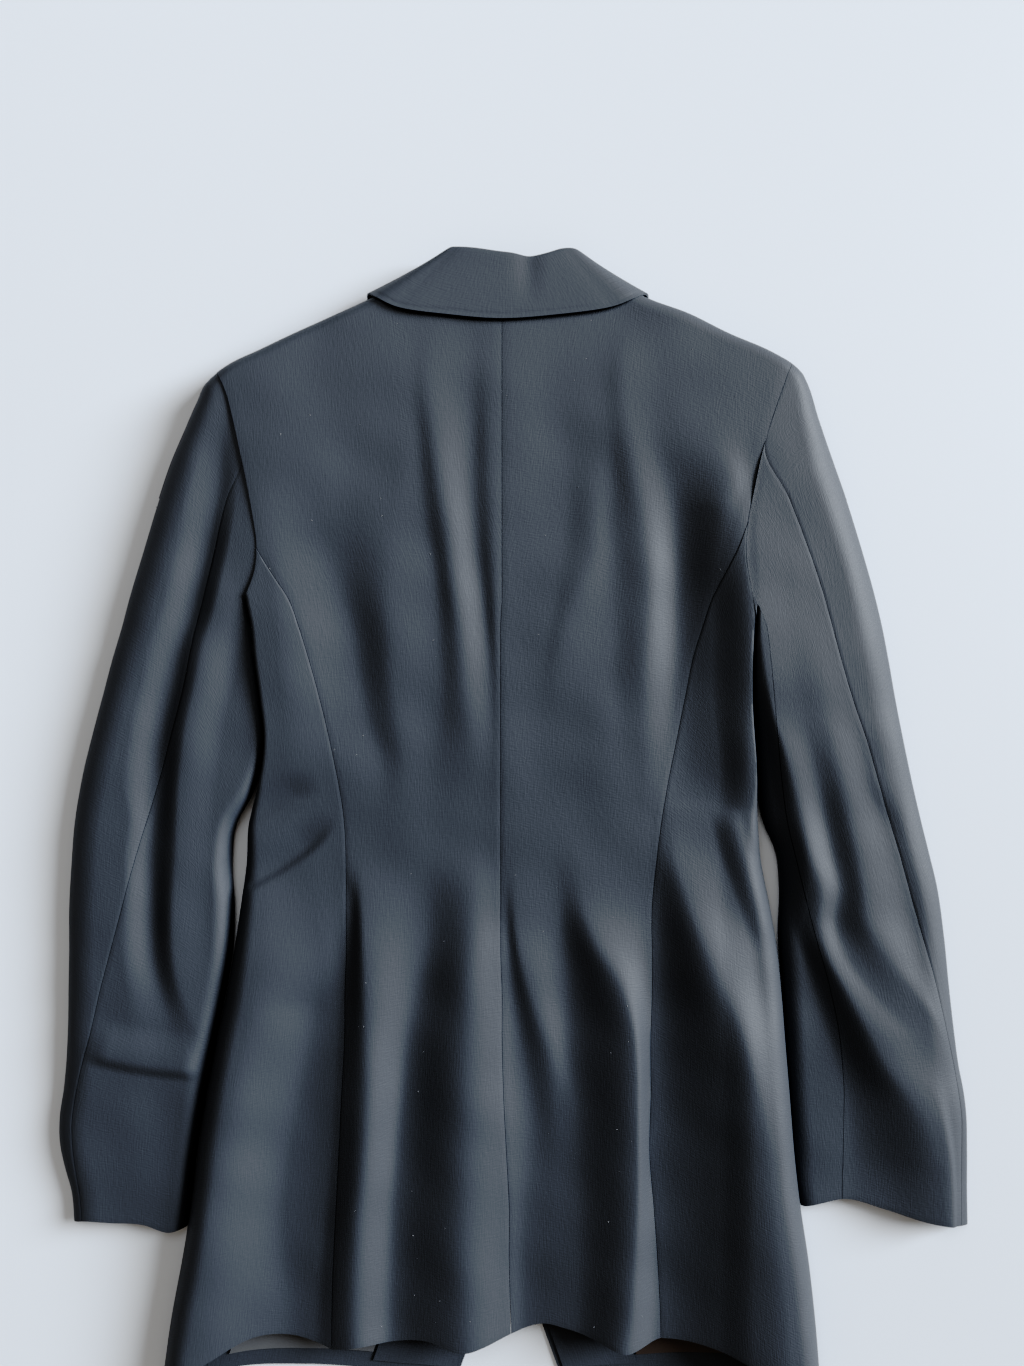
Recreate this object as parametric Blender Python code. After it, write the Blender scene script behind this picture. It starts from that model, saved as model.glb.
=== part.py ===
"""A fitted blazer with one button, laid face down on a flat surface with its sleeves at its sides.

X runs across the garment, Y up its length to the collar and Z up. The origin is on the surface it lies on.
Each cut piece is a wall of cloth. The back, the sides and the sleeves' backs are the upper layer, whose
height is a crown with folds on it that rounds down to the garment's side folds. The fronts and the sleeves'
undersides lie flat below, and the lapels and the collar's ends lie under the fronts.
"""

import bpy
import numpy as np

MM = 0.001
# Middle of the whole outline, where the origin goes, from the neck's working origin
MIDDLE = (-1.0, 1.3, 0.0)

# Cloth, mm
WALL = 1.6
LINING_WALL = 1.0
SEAM_GAP = 0.32
# Height of the side folds, where the upper layer turns down into the lower one
FOLD_HEIGHT = 4.2
UNDER_RADIUS = 6.5
# Lowest top of the upper layer, and the most that a slope thickens its wall
LOWEST_TOP = 9.0
MOST_SLANT = 2.4
# The left front and both fronts' edges are lifted by what lies under them, over a ramp
LAYER = 2.0
OVER_FRONT = 2.6
COLLAR_LIFT = 1.5
LIFT_MARGIN = 14.0
RAMP = 26.0
# Where the collar's ends stop, and how wide they are there
COLLAR_END_Y = 276.0
COLLAR_WIDTH = 45.0
# Lowest point of the hems, and how far the sleeves' folds run on past their cuffs
LOWEST_HEM = -404.0
PAST_CUFF = 4.0

# Button, mm
BUTTON_CENTRE = (-6.0, -2.0)
BUTTON_RADIUS = 10.0
BUTTON_HEIGHT = 3.0
BUTTON_RIM = 0.7
BUTTON_SIDES = 28
OVER_BUTTON = 3.5

# Armhole seams from the shoulder's tip down: y left, x left, y right, x right.
ARMHOLE = (
    (321, -212, 327, 196),
    (314, -207, 318, 191),
    (303, -202, 305, 186),
    (286, -197.5, 288, 180),
    (262, -192, 262, 172),
    (239, -187, 236, 166),
    (218, -183, 211, 161),
    (194, -180, 193, 159.5),
    (176, -182, 176, 161),
    (166, -185.5, 163, 163.5),
    (159, -188.5, 152, 167.6),
)

# The body by height: y, left side, left side seam, left back seam, middle of the back,
# right back seam, right side seam, right side.
BODY = (
    (211, -188, -186, -187, -9, 161, 161, 168),
    (194, -188, -180, -180, -9, 154.5, 155, 168),
    (176, -188, -172, -169, -9, 146, 149, 168),
    (159, -188, -164.5, -158, -9, 138, 143.5, 168),
    (140, -185, -160, -151, -10, 132, 139, 166),
    (120, -183, -156.5, -145, -10, 126, 136, 165),
    (90, -180, -151, -137, -10, 120, 135, 165),
    (60, -178, -149, -130, -10, 114, 137, 167),
    (30, -183, -152, -124, -10, 108, 141, 170),
    (0, -190.5, -157.5, -120, -10, 103, 146, 173),
    (-30, -192, -162, -119, -10, 99.5, 150, 176.5),
    (-60, -196, -166, -119, -10, 97, 155, 182.5),
    (-90, -200.5, -170, -119, -10, 97, 159, 187.5),
    (-120, -206, -174, -120, -9, 97, 162, 190.5),
    (-150, -212, -179, -120, -9, 96, 165, 192.5),
    (-190, -219.5, -186, -122, -8, 96, 168, 195.5),
    (-230, -226, -193, -124, -6, 95, 171, 198.5),
    (-270, -231, -200, -126, -4, 98, 176, 203),
    (-310, -237.5, -208, -128, -4, 101, 181, 209),
    (-350, -245, -216, -129, -3, 103, 186, 213.5),
    (-404, -252.5, -223, -129, -3, 103, 190, 218),
)

# The left sleeve by height: y, outer side, back seam, front seam underneath, inner side.
SLEEVE_LEFT = (
    (321, -212, -206, -180, -189.5),
    (314, -220, -205, -180, -189.5),
    (301, -226.5, -203, -180, -189.5),
    (277, -237, -198, -180, -189.5),
    (262, -243.5, -192, -180, -189.5),
    (227, -255.5, -203, -180, -189.5),
    (194, -265.5, -210.5, -180, -189.5),
    (159, -276, -219, -195, -189.5),
    (140, -281, -224, -202, -187.5),
    (120, -287, -228, -206, -186.5),
    (90, -295, -234.5, -206.5, -184.5),
    (60, -303, -243, -205.5, -183.5),
    (40, -308, -249, -208, -186.5),
    (20, -312, -255, -213.5, -191.5),
    (0, -315, -261, -216, -200),
    (-25, -317, -268, -217, -202.5),
    (-60, -319, -277, -217.5, -203.5),
    (-90, -319, -285, -219, -205.5),
    (-120, -319.5, -293, -223.5, -210),
    (-150, -320, -300, -229, -215.5),
    (-175, -321.5, -307, -234, -220.5),
    (-190, -323, -310.5, -237, -223.5),
    (-210, -326, -313.5, -240.5, -227),
    (-228, -326, -313.5, -243.5, -230),
    (-248, -322, -311.5, -245.5, -232),
    (-262, -318, -309.5, -247, -233.5),
    (-292, -315.5, -307.5, -250, -237),
)

# The right sleeve by height: y, outer side, back seam, front seam near the body, inner side.
SLEEVE_RIGHT = (
    (327, 196, 187, 160, 169),
    (320, 204, 186, 160, 169),
    (313, 208, 184, 160, 169),
    (288, 216.5, 178, 160, 169),
    (262, 225.5, 172, 160, 169),
    (229, 237, 189, 160, 169),
    (193, 248, 203, 160, 169),
    (163, 256.5, 213, 163.5, 169),
    (140, 262, 219.5, 173, 168.5),
    (120, 266, 225, 176, 169),
    (90, 271.5, 235, 179.5, 171),
    (60, 277.5, 246, 183, 174),
    (30, 284, 255.5, 187, 178),
    (0, 291, 265, 192, 181.5),
    (-20, 296, 271, 197, 186.5),
    (-45, 302, 278, 203, 189.5),
    (-80, 307, 288, 212, 192.5),
    (-115, 310.5, 298, 222, 195),
    (-150, 314.5, 306.5, 230, 197.5),
    (-175, 318, 312.5, 233, 199.5),
    (-190, 321, 315, 234, 200.5),
    (-205, 323, 317, 234, 201.5),
    (-235, 324, 317.5, 234, 204),
    (-262, 324, 317.5, 233.5, 206),
    (-292, 324.5, 317.5, 233.5, 209),
)

# Shoulder lines and the back's neck edge from the middle outwards: x, y.
SHOULDER_LEFT = (
    (-92, 380), (-103, 374), (-132, 360.5), (-153, 351), (-182, 337), (-203, 327), (-212, 321),
)
SHOULDER_RIGHT = ((82, 380), (94, 374), (125, 362), (153, 348), (180, 336), (196, 327))
NECK_LEFT = ((-9, 364), (-40, 365.5), (-68, 369), (-84, 374.5), (-92, 380))
NECK_RIGHT = ((-9, 364), (24, 365.5), (52, 368.5), (72, 374), (82, 380))

# Hems from the middle outwards: x, y.
HEM_BACK_LEFT = ((-3, -357), (-38, -365), (-60, -361), (-92, -367), (-110, -366), (-129, -370))
HEM_SIDE_LEFT = ((-129, -370), (-160, -362), (-184, -362), (-215, -376), (-252, -399))
HEM_BACK_RIGHT = ((-3, -357), (32, -357), (60, -362), (77, -367), (90, -366), (103, -363))
HEM_SIDE_RIGHT = ((103, -363), (125, -364), (160, -372), (190, -388), (218, -404))
HEM_FRONT_LEFT = ((-41, -398), (-80, -395), (-150, -390), (-200, -392), (-222.5, -397))
HEM_FRONT_RIGHT = ((33, -398), (70, -396), (140, -393), (175, -396), (189.5, -400))
HEM_UNDER_LEFT = ((-252, -399), (-240, -398.5), (-222.5, -397))
HEM_UNDER_RIGHT = ((218, -404), (204, -402.5), (189.5, -400))

# Cuffs from the outer side inwards: x, y.
CUFF_LEFT = ((-314.5, -281), (-308, -279), (-285, -281.5), (-258, -284), (-236.5, -286.5))
CUFF_RIGHT = ((324, -287), (317.5, -286), (292, -282), (262, -274), (234, -268), (219, -271), (207, -274))

# Inner edge of each front by height: y, left x, right x. The lapel folds at it down to the button.
FRONT_EDGE = (
    (380, -92, 82),
    (362, -80, 68),
    (343, -65, 51),
    (270, -47.5, 33.5),
    (180, -26, 12),
    (90, -4.6, -8.6),
    (8, 14.5, -26.5),
    (-60, 15, -27),
    (-130, 14, -26),
    (-200, 9, -20),
    (-260, 0, -10),
    (-310, -12, 4),
    (-350, -24, 16),
    (-398, -41, 33),
)

# Lapels by height: y, the inset of the outer edge from the fold at it.
LAPEL = (
    (337, 3),
    (322, 13),
    (307, 24),
    (300, 30),
    (288, 47),
    (276, 47),
    (240, 45),
    (190, 38),
    (130, 26),
    (100, 19),
    (50, 9),
    (22, 3.2),
)
LAPEL_LOW_LEFT = 108.0
# Rows and columns, how many of the rows above keep the notch's corners, and where the lapel starts, as a share
# of its width off the fold.
LAPEL_ROWS = 13
LAPEL_COLUMNS = 4
LAPEL_NOTCH_ROWS = 6
LAPEL_START = 0.04

# Height of the crown by y over the body, and over the sleeves.
CROWN_BODY = (
    (380, 23), (330, 25), (200, 25), (100, 23), (40, 20.5), (-30, 18.5), (-100, 19), (-200, 20), (-400, 19),
)
CROWN_SLEEVE = ((330, 24), (200, 24), (100, 22.5), (0, 20), (-150, 18), (-230, 15), (-290, 13))

# Folds of the skirt by height: y, then x and height over the crown of each fold line from left to right.
SKIRT = (
    (18, ((-177, 0), (-150.4, 0), (-129.4, 0), (-107.7, 0), (-62.9, 0), (-31.4, 0), (-10.4, 0), (3.6, 0),
     (21.1, 0), (42.1, 0), (94.6, 0), (115.6, 0), (161.1, 0))),
    (-24, ((-177, 0.5), (-150.4, 0), (-125.9, -0.3), (-107.7, 0), (-62.9, -0.3), (-31.4, 0.5),
     (-10.4, -0.2), (1.5, 0), (26, -0.3), (45.6, 0.3), (95.3, -0.5), (113.5, 2.5), (159, 0))),
    (-52, ((-177, 2), (-143.4, 0), (-116.8, -1), (-107.7, 2), (-62.9, -1), (-31.4, 2), (-7.6, -0.7),
     (0.1, 0.3), (30.2, -1.2), (47.7, 1), (96, -1.2), (121.9, 5), (163.2, 0))),
    (-80, ((-179.8, 4), (-137.8, 0), (-117.5, -2), (-106.3, 4), (-62.9, -2), (-31.4, 4), (-4.8, -2),
     (1.5, 0), (33, -3), (56.8, 4.5), (97.4, 0), (131.7, 9), (169.5, 0.5))),
    (-108, ((-184, 5), (-135, -1.5), (-121, -2.5), (-104.9, 5.5), (-66.4, -3.5), (-32.8, 5.5),
     (-2.7, -3), (7.8, -0.5), (36.5, -4.5), (72.2, 7.5), (98.1, 2.5), (141.5, 11.5), (174.4, 2))),
    (-136, ((-188.2, 6), (-139.2, -3), (-123.8, -2.5), (-104.2, 6), (-72, -4.5), (-33.5, 6), (1.5, -4),
     (16.2, -1), (37.9, -5), (81.3, 9), (97.4, 4.5), (152.7, 13), (178.6, 5))),
    (-165, ((-193.8, 6.5), (-144.8, -4.5), (-125.9, -3), (-103.5, 6), (-76.2, -5.5), (-34.2, 6),
     (6.4, -5), (24.6, -2.2), (38.6, -4.5), (84.8, 10), (96.7, 5.5), (161.1, 14), (181.4, 9))),
    (-193, ((-200.1, 7), (-150.4, -5.5), (-128, -3.5), (-103.5, 6), (-78.3, -6), (-34.2, 6),
     (10.6, -5.5), (28.8, -3.2), (41.4, -3.5), (85.5, 10), (96, 6), (168.1, 14), (183.5, 12))),
    (-221, ((-206.4, 7), (-156, -6), (-129.4, -4), (-104.9, 5.5), (-81.1, -6), (-34.2, 6), (12.7, -5.5),
     (28.8, -3.8), (42.8, -2.8), (85.5, 10), (96, 6), (173, 14), (185.6, 13))),
    (-249, ((-211.3, 7), (-160.2, -6.5), (-131.5, -4.5), (-107, 5), (-83.2, -6), (-35.6, 6),
     (11.3, -5.5), (28.8, -4), (43.5, -2.2), (85.5, 10), (96.7, 6), (175.8, 14), (187.7, 13.5))),
    (-277, ((-216.2, 7), (-163, -6.5), (-135, -5), (-109.8, 4.5), (-85.3, -6), (-36.3, 6), (9.2, -5.5),
     (28.8, -4), (44.2, -2), (84.1, 10), (99.5, 6), (178.6, 14), (189.8, 13.5))),
    (-305, ((-220.4, 6.5), (-161.6, -6.5), (-137.8, -5), (-111.2, 4.5), (-86, -6), (-36.3, 6),
     (7.8, -5.5), (28.8, -4), (44.2, -2), (82.7, 10), (100.9, 5.5), (182.1, 13.5), (193.3, 13))),
    (-333, ((-225.3, 6), (-158.8, -6.5), (-140.6, -5.3), (-112.6, 4), (-86.7, -6), (-34.9, 5.5),
     (7.8, -5.5), (28.8, -4), (44.2, -2), (80.6, 10), (102.3, 5), (184.9, 13), (196.1, 12.5))),
    (-403, ((-230.2, 6), (-157.4, -6.5), (-140.6, -5.3), (-111.2, 4), (-87.4, -6), (-35.6, 5.5),
     (7.8, -5.5), (26, -4.3), (41.4, -2.5), (69.4, 9.5), (103, 4.5), (189.1, 12.5), (199.6, 12))),
)

# Drag lines of the upper back in the same way.
SHOULDERS = (
    (355, ((-185.4, 0), (-129.4, 0), (-87.4, 0), (-69.9, 0), (-58, 0), (-31.4, 0), (-18.1, 0), (10.6, 0),
     (49.1, 0), (66.6, 0.5), (79.2, 1), (98.1, 1.5), (129.6, 2.5), (161.1, 3))),
    (313, ((-185.4, 0), (-132.2, 0), (-86, 0), (-72, -0.2), (-60.8, 0.8), (-30.7, -0.8), (-18.1, 0.3),
     (28.8, -0.3), (55.4, 0.3), (63.8, 1), (75, 2.5), (94.6, 2), (136.6, 4), (166, 4.5))),
    (270, ((-185.4, 1), (-135, 0), (-81.8, -0.2), (-67.8, -0.6), (-56.6, 2.4), (-30, -2.5), (-17.4, 0.5),
     (32.3, -1), (58.2, 1), (65.9, 1.5), (79.9, 4), (97.4, 2.6), (140.8, 5.5), (166, 5))),
    (242, ((-182.6, 2), (-136.4, 0), (-81.8, 0.2), (-65.7, -0.8), (-53.1, 3), (-30, -3), (-16.7, 0.5),
     (35.1, -1.5), (57.5, 0.8), (66.6, 1), (83.4, 4.2), (105.8, 2), (148.5, 6), (164.6, 5))),
    (214, ((-175.6, 2.5), (-135, -1), (-87.4, 0.6), (-62.9, -1), (-48.9, 3.2), (-28.6, -3.8), (-15.3, 0.1),
     (35.1, -1.5), (55.4, 0.8), (66.6, 0), (88.3, 3.8), (111.4, 0.4), (148.5, 5.5), (163.2, 4.5))),
    (186, ((-170, 1.8), (-128, -3), (-88.1, 1.5), (-58, -1.1), (-45.4, 3.2), (-25.8, -4), (-14.6, 0),
     (31.6, -1.1), (52.6, 0.7), (69.4, -1), (93.2, 3), (114.2, -1.4), (145, 4), (163.2, 4))),
    (158, ((-168.6, 1.0), (-120.3, -4), (-88.1, 2.2), (-54.5, -1.2), (-41.9, 3), (-22.3, -3.8),
     (-13.5, -0.4), (26.7, -0.7), (41.4, 0.5), (68, -1.4), (92.5, 2.6), (114.9, -2), (140.1, 2),
     (163.2, 3.8))),
    (130, ((-166.5, 1.0), (-114, -4), (-86, 2.4), (-53.8, -1.2), (-38.4, 2.6), (-19.5, -2.8),
     (-12.5, -0.5), (21.8, -0.4), (33, 0.3), (69.4, -1.4), (91.1, 2.2), (113.5, -2), (138, 1),
     (163.2, 3.5))),
    (102, ((-164.4, 2.0), (-110.5, -3.8), (-85.3, 2), (-52.4, -1.2), (-36.3, 2.2), (-17.4, -1.6),
     (-11.1, -0.4), (17.6, -0.2), (28.8, 0.1), (66.6, -1), (89, 1.6), (112.8, -1.5), (138, 0.6),
     (163.2, 3.2))),
    (74, ((-163, 3.2), (-105.6, -3), (-81.8, 1.2), (-53.8, -1), (-33.5, 1.6), (-16, -0.8), (-10.4, -0.2),
     (17.6, 0), (28.8, 0), (70.8, -0.5), (89.7, 0.9), (112.8, -0.8), (139.4, 0.5), (163.9, 2.6))),
    (46, ((-163, 2.2), (-95.8, -1.4), (-77.6, 0.5), (-56.6, -0.5), (-31.4, 0.8), (-15.3, -0.2),
     (-9.7, 0), (17.6, 0), (28.8, 0), (70.8, 0), (89.7, 0.3), (112.8, -0.3), (140.8, 0.3), (164.6, 1.6))),
    (11, ((-163, 0), (-95.8, 0), (-77.6, 0), (-56.6, 0), (-31.4, 0), (-15.3, 0), (-9.7, 0), (17.6, 0),
     (28.8, 0), (70.8, 0), (89.7, 0), (112.8, 0), (140.8, 0), (164.6, 0))),
)

# Other folds: height (below nought for a trough), width to the left, width to the right,
# length it rises over at its start, and at its end (nought where it runs off), then its path as x, y.
BODY_FOLDS = (
    (-3.5, 10, 10, 14, 30, ((-180, -42), (-168, -42), (-151, -31), (-133, -16))),
    (2.5, 12, 12, 14, 30, ((-178, -16), (-164, -14), (-143, -1))),
    (-2.5, 12, 12, 20, 20, ((123, -7), (145, -30), (161, -49), (168, -62))),
)
LEFT_SLEEVE_FOLDS = (
    (-11.0, 12, 14, 50, 40, (
     (-202, 270), (-209, 229), (-221, 183), (-233, 137), (-243, 88), (-251, 39), (-257, -11), (-259, -67),
     (-257, -109), (-247, -134), (-230, -147))),
    (4.5, 22, 16, 40, 30, (
     (-201, 175), (-210, 130), (-219, 88), (-226, 43), (-232, -9), (-235, -58), (-234, -96), (-224, -118))),
    (-3.0, 9, 9, 20, 20, ((-300, -169), (-286, -172), (-258, -177), (-226, -181))),
)
RIGHT_SLEEVE_FOLDS = (
    (-9.0, 13, 13, 50, 40, (
     (193, -18), (198, -53), (208, -89), (220, -124), (233, -159), (244, -202), (254, -240))),
    (6.0, 16, 18, 50, 50, (
     (198, -23), (208, -54), (224, -89), (243, -124), (264, -158), (285, -193), (299, -224), (306, -250))),
    (-4.5, 8, 8, 20, 25, ((211, -49), (228, -77), (248, -100), (270, -126), (288, -147), (300, -168))),
    (3.0, 16, 24, 50, 60, ((172, 170), (183, 123), (198, 74), (213, 33), (231, -9), (247, -44))),
)

# Strips on the fronts' inner faces: name, side, inset of each column, heights over the hem, look
STRIPS = (
    ("facing_left", "left", (4, 20, 40, 65), 6, 70, "black_wool"),
    ("facing_right", "right", (4, 20, 40, 58), 6, 70, "black_wool"),
    ("lining_left", "left", (67, 90, 120, 150, 170), 12, 76, "grey_lining"),
    ("lining_right", "right", (60, 85, 110, 132), 12, 76, "brown_lining"),
)
STRIP_ROWS = 5
LOWEST_FRONT = -398.0

# Base colour, roughness and sheen of each look
LOOKS = {
    "black_wool": ((0.012, 0.013, 0.016), 0.85, 0.35),
    "grey_lining": ((0.32, 0.32, 0.34), 0.4, 0.0),
    "brown_lining": ((0.07, 0.045, 0.035), 0.4, 0.0),
    "black_button": ((0.01, 0.01, 0.011), 0.3, 0.0),
}

# Collar from its left end under the front, round the back, to its right end: the seam at the neck,
# the roll and the outer edge of the fall, x, y, z of the wall's middle in each, then the fall's way.
COLLAR = (
    ((-61.5, 345.5, 4.1), (-58.5, 350, 4.0), (-97, 317, 0.85), (0, 0, -1)),
    ((-73, 357, 4.1), (-54.5, 366, 4.1), (-105, 334, 0.85), (0, 0, -1)),
    ((-83, 372, 4.8), (-50, 384, 4.6), (-111, 356, 1.0), (0, 0, -1)),
    ((-87, 381, 5.9), (-48, 396, 5.8), (-114, 373.5, 1.8), (-0.2, 0.3, -1)),
    ((-88, 386, 10.0), (-47, 402, 10.5), (-111, 379, 9.0), (-0.6, 0.8, 0)),
    ((-84, 384, 19.0), (-45.5, 405.5, 17.5), (-99, 372, 24.0), (-0.1, 0.2, 1)),
    ((-68, 375.5, 23.5), (-40, 405, 19.5), (-84, 364, 28.6), (0, 0, 1)),
    ((-40, 371, 24.5), (-28, 403, 20.5), (-50, 359.5, 29.0), (0, 0, 1)),
    ((-9, 369.5, 25.0), (-6, 401, 21.0), (-9, 356.5, 29.4), (0, 0, 1)),
    ((24, 371, 24.5), (18, 400, 20.5), (34, 360, 29.0), (0, 0, 1)),
    ((54, 375.5, 23.5), (34, 403, 19.5), (70, 364.5, 28.6), (0, 0, 1)),
    ((74, 384, 19.0), (45, 404, 17.5), (88, 372, 24.0), (0.1, 0.2, 1)),
    ((78, 386, 10.0), (47, 401, 10.5), (101, 379, 9.0), (0.6, 0.8, 0)),
    ((77, 381, 5.9), (46, 395, 5.8), (104, 373.5, 1.8), (0.2, 0.3, -1)),
    ((71, 372, 4.8), (44, 384, 4.6), (99, 356, 1.0), (0, 0, -1)),
    ((60, 357, 4.1), (42.5, 366, 4.1), (92, 334, 0.85), (0, 0, -1)),
    ((47.5, 345.5, 4.1), (44.5, 350, 4.0), (83, 317, 0.85), (0, 0, -1)),
)
COLLAR_ROWS = 31
# Width of the bend at the roll, and how far it starts before the roll as a share of half of that
COLLAR_BEND = 3.0
COLLAR_BEND_DEPTH = 1.2

# How finely the panels are divided: shares of the armhole's height above the back seam and below it, and of
# the lower layer's. The elbow seam and the front seam start in one of those rows.
ARM_ROWS = (0.0, 0.006, 0.028, 0.07, 0.135, 0.24, 0.375, 0.56, 0.78, 1.0)
ELBOW_ROW = 6
UNDERARM = (0.0, 0.16, 0.32, 0.47, 0.6, 0.72, 0.82, 0.9, 0.96, 1.0)
UNDERARM_BELOW = (0.0, 0.06, 0.2, 0.5, 1.0)
FRONT_SEAM_ROW = 5
SIDE_ROWS = 22
SLEEVE_ROWS = 22
SLEEVE_CROWDING = 1.12
BACK_COLUMNS = 13
FRONT_SPREAD = (0.0, 0.07, 0.14, 0.22, 0.32, 0.48, 0.72, 1.0)
# The front's rows below this height are shared evenly
FRONT_TURN_Y = 200.0
# Shares of a panel's height over which its ends' shapes fade out, and how fast
TOP_FADE = 0.3
HEM_FADE = 0.25
FADE_POWER = 1.5
# A sleeve's seam joins the armhole over one part in this many of its length
SEAM_JOIN = 8
# A side seam's ends join the armhole and the side fold within this share
END_SHARE = 0.02
# Samples along a side fold, and along a fold of the cloth
EDGE_SAMPLES = 140
SHOULDER_SAMPLES = 50
PATH_SAMPLES = 40
# Closer to a side fold than this, its own direction counts
AT_FOLD = 0.05
# Columns from a side fold to its full height, as a share of them, and the widest share of a row they take
TURN_SHARE = 0.35
TURN_GROWTH = 0.25
MOST_TURN = 0.6
MOST_TURN_OF_TWO = 0.4
# Rows that take over from the armhole's own division
BLEND_ROWS = 4

# Radius in plan over which each side fold rounds up to the crown: at its top, an eighth down, at its end
RADIUS_AT = (0, 0.12, 1)
SHOULDER_RADIUS = 11.0
OUTER_RADIUS = (12.0, 25.0, 22.0)
INNER_RADIUS = (12.0, 12.0, 11.0)
SIDE_RADIUS = (12.0, 15.0, 19.0)


def smooth(points, at):
    """Values between the points, a curve through them. The first column rises or falls steadily."""
    points = np.asarray(points, float)
    if points[0, 0] > points[-1, 0]:
        points = points[::-1]
    x, y = points[:, 0], points[:, 1]
    step = np.diff(x)
    rise = np.diff(y) / step
    inner = (rise[:-1] * step[1:] + rise[1:] * step[:-1]) / (step[1:] + step[:-1])
    slope = np.concatenate([rise[:1], inner, rise[-1:]])
    at = np.clip(np.asarray(at, float), x[0], x[-1])
    i = np.clip(np.searchsorted(x, at) - 1, 0, len(step) - 1)
    t = (at - x[i]) / step[i]
    start = y[i] * (1 + 2 * t) * (1 - t) ** 2 + slope[i] * step[i] * t * (1 - t) ** 2
    return start + y[i + 1] * t * t * (3 - 2 * t) + slope[i + 1] * step[i] * t * t * (t - 1)


def column(table, n):
    return np.array([(row[0], row[n]) for row in table], float)


def along_path(points, count):
    """Points evenly along a smooth path through these ones."""
    points = np.asarray(points, float)
    length = np.concatenate([[0], np.cumsum(np.linalg.norm(np.diff(points, axis=0), axis=1))])
    at = np.linspace(0, length[-1], count)
    return np.stack([smooth(np.stack([length, points[:, k]], 1), at) for k in range(points.shape[1])], 1)


def nearest(points, path):
    """Distance to a path, the way out of it, how far along it is, and its side: positive at its right."""
    start, way = path[:-1], np.diff(path, axis=0)
    size = (way**2).sum(1)
    off = points[:, None, :] - start[None]
    t = np.clip((off * way).sum(2) / size, 0, 1)
    gap = off - t[..., None] * way
    far = (gap**2).sum(2)
    k = far.argmin(1)
    rows = np.arange(len(points))
    turn = way[k, 0] * off[rows, k, 1] - way[k, 1] * off[rows, k, 0]
    length = np.concatenate([[0], np.cumsum(np.sqrt(size))])
    run = length[k] + t[rows, k] * np.sqrt(size[k])
    return np.sqrt(far[rows, k]), gap[rows, k], run / length[-1], np.sign(-turn), length[-1], way[k]


def folds_at(points, folds):
    """Height that the folds add at each point."""
    total = np.zeros(len(points))
    for height, left, right, start, end, path in folds:
        path = along_path(path, PATH_SAMPLES)
        far, _, run, side, length, way = nearest(points, path)
        # A path that runs down the garment has its left at its right-hand side.
        width = np.where(side * np.sign(-way[:, 1]) > 0, left, right)
        share = np.clip(1 - (far / width) ** 2, 0, 1) ** 2
        fade = np.ones(len(points))
        if start:
            fade *= np.clip(run * length / start, 0, 1)
        if end:
            fade *= np.clip((1 - run) * length / end, 0, 1)
        total += height * share * fade * fade * (3 - 2 * fade)
    return total


def fold_lines(points, table):
    """Height over the crown that these fold lines add, with a curve from each line to the next."""
    heights = [row[0] for row in table]
    y = points[:, 1]
    count = len(table[0][1])
    x = np.array([smooth(list(zip(heights, [row[1][n][0] for row in table])), y) for n in range(count)])
    h = np.array([smooth(list(zip(heights, [row[1][n][1] for row in table])), y) for n in range(count)])
    step = np.diff(x, axis=0)
    rise = np.diff(h, axis=0) / step
    same = rise[:-1] * rise[1:] > 0
    slope = np.zeros_like(h)
    slope[1:-1] = np.where(same, 2 * rise[:-1] * rise[1:] / np.where(same, rise[:-1] + rise[1:], 1), 0)
    here = np.clip((points[:, 0] > x).sum(0) - 1, 0, count - 2)
    n = np.arange(len(points))
    wide = step[here, n]
    t = np.clip((points[:, 0] - x[here, n]) / wide, 0, 1)
    start = h[here, n] * (1 + 2 * t) * (1 - t) ** 2 + slope[here, n] * wide * t * (1 - t) ** 2
    return start + h[here + 1, n] * t * t * (3 - 2 * t) + slope[here + 1, n] * wide * t * t * (t - 1)


ARM_LEFT = np.array([row[:2] for row in ARMHOLE], float)
ARM_RIGHT = np.array([row[2:] for row in ARMHOLE], float)
TIP = {"left": ARM_LEFT[0, 0], "right": ARM_RIGHT[0, 0]}
BACK_SEAM_TOP = {"left": 194.0, "right": 211.0}
UNDERARM_Y = {"left": ARM_LEFT[-1, 0], "right": ARM_RIGHT[-1, 0]}
ARM = {"left": ARM_LEFT, "right": ARM_RIGHT}
OUT = {"left": -1.0, "right": 1.0}
SIDE_LINE = {"left": column(BODY, 1), "right": column(BODY, 7)}
SIDE_SEAM = {"left": column(BODY, 2), "right": column(BODY, 6)}
BACK_SEAM = {"left": column(BODY, 3), "right": column(BODY, 5)}
SLEEVE = {"left": SLEEVE_LEFT, "right": SLEEVE_RIGHT}
SLEEVE_FOLDS = {"left": LEFT_SLEEVE_FOLDS, "right": RIGHT_SLEEVE_FOLDS}
SHOULDER = {"left": SHOULDER_LEFT, "right": SHOULDER_RIGHT}
NECK = {"left": NECK_LEFT, "right": NECK_RIGHT}
FRONT_LINE = {"left": column(FRONT_EDGE, 1), "right": column(FRONT_EDGE, 2)}
CUFF = {"left": CUFF_LEFT, "right": CUFF_RIGHT}
HEM_BACK = {"left": HEM_BACK_LEFT, "right": HEM_BACK_RIGHT}
HEM_SIDE = {"left": HEM_SIDE_LEFT, "right": HEM_SIDE_RIGHT}
HEM_FRONT = {"left": HEM_FRONT_LEFT, "right": HEM_FRONT_RIGHT}
HEM_UNDER = {"left": HEM_UNDER_LEFT, "right": HEM_UNDER_RIGHT}


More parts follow.
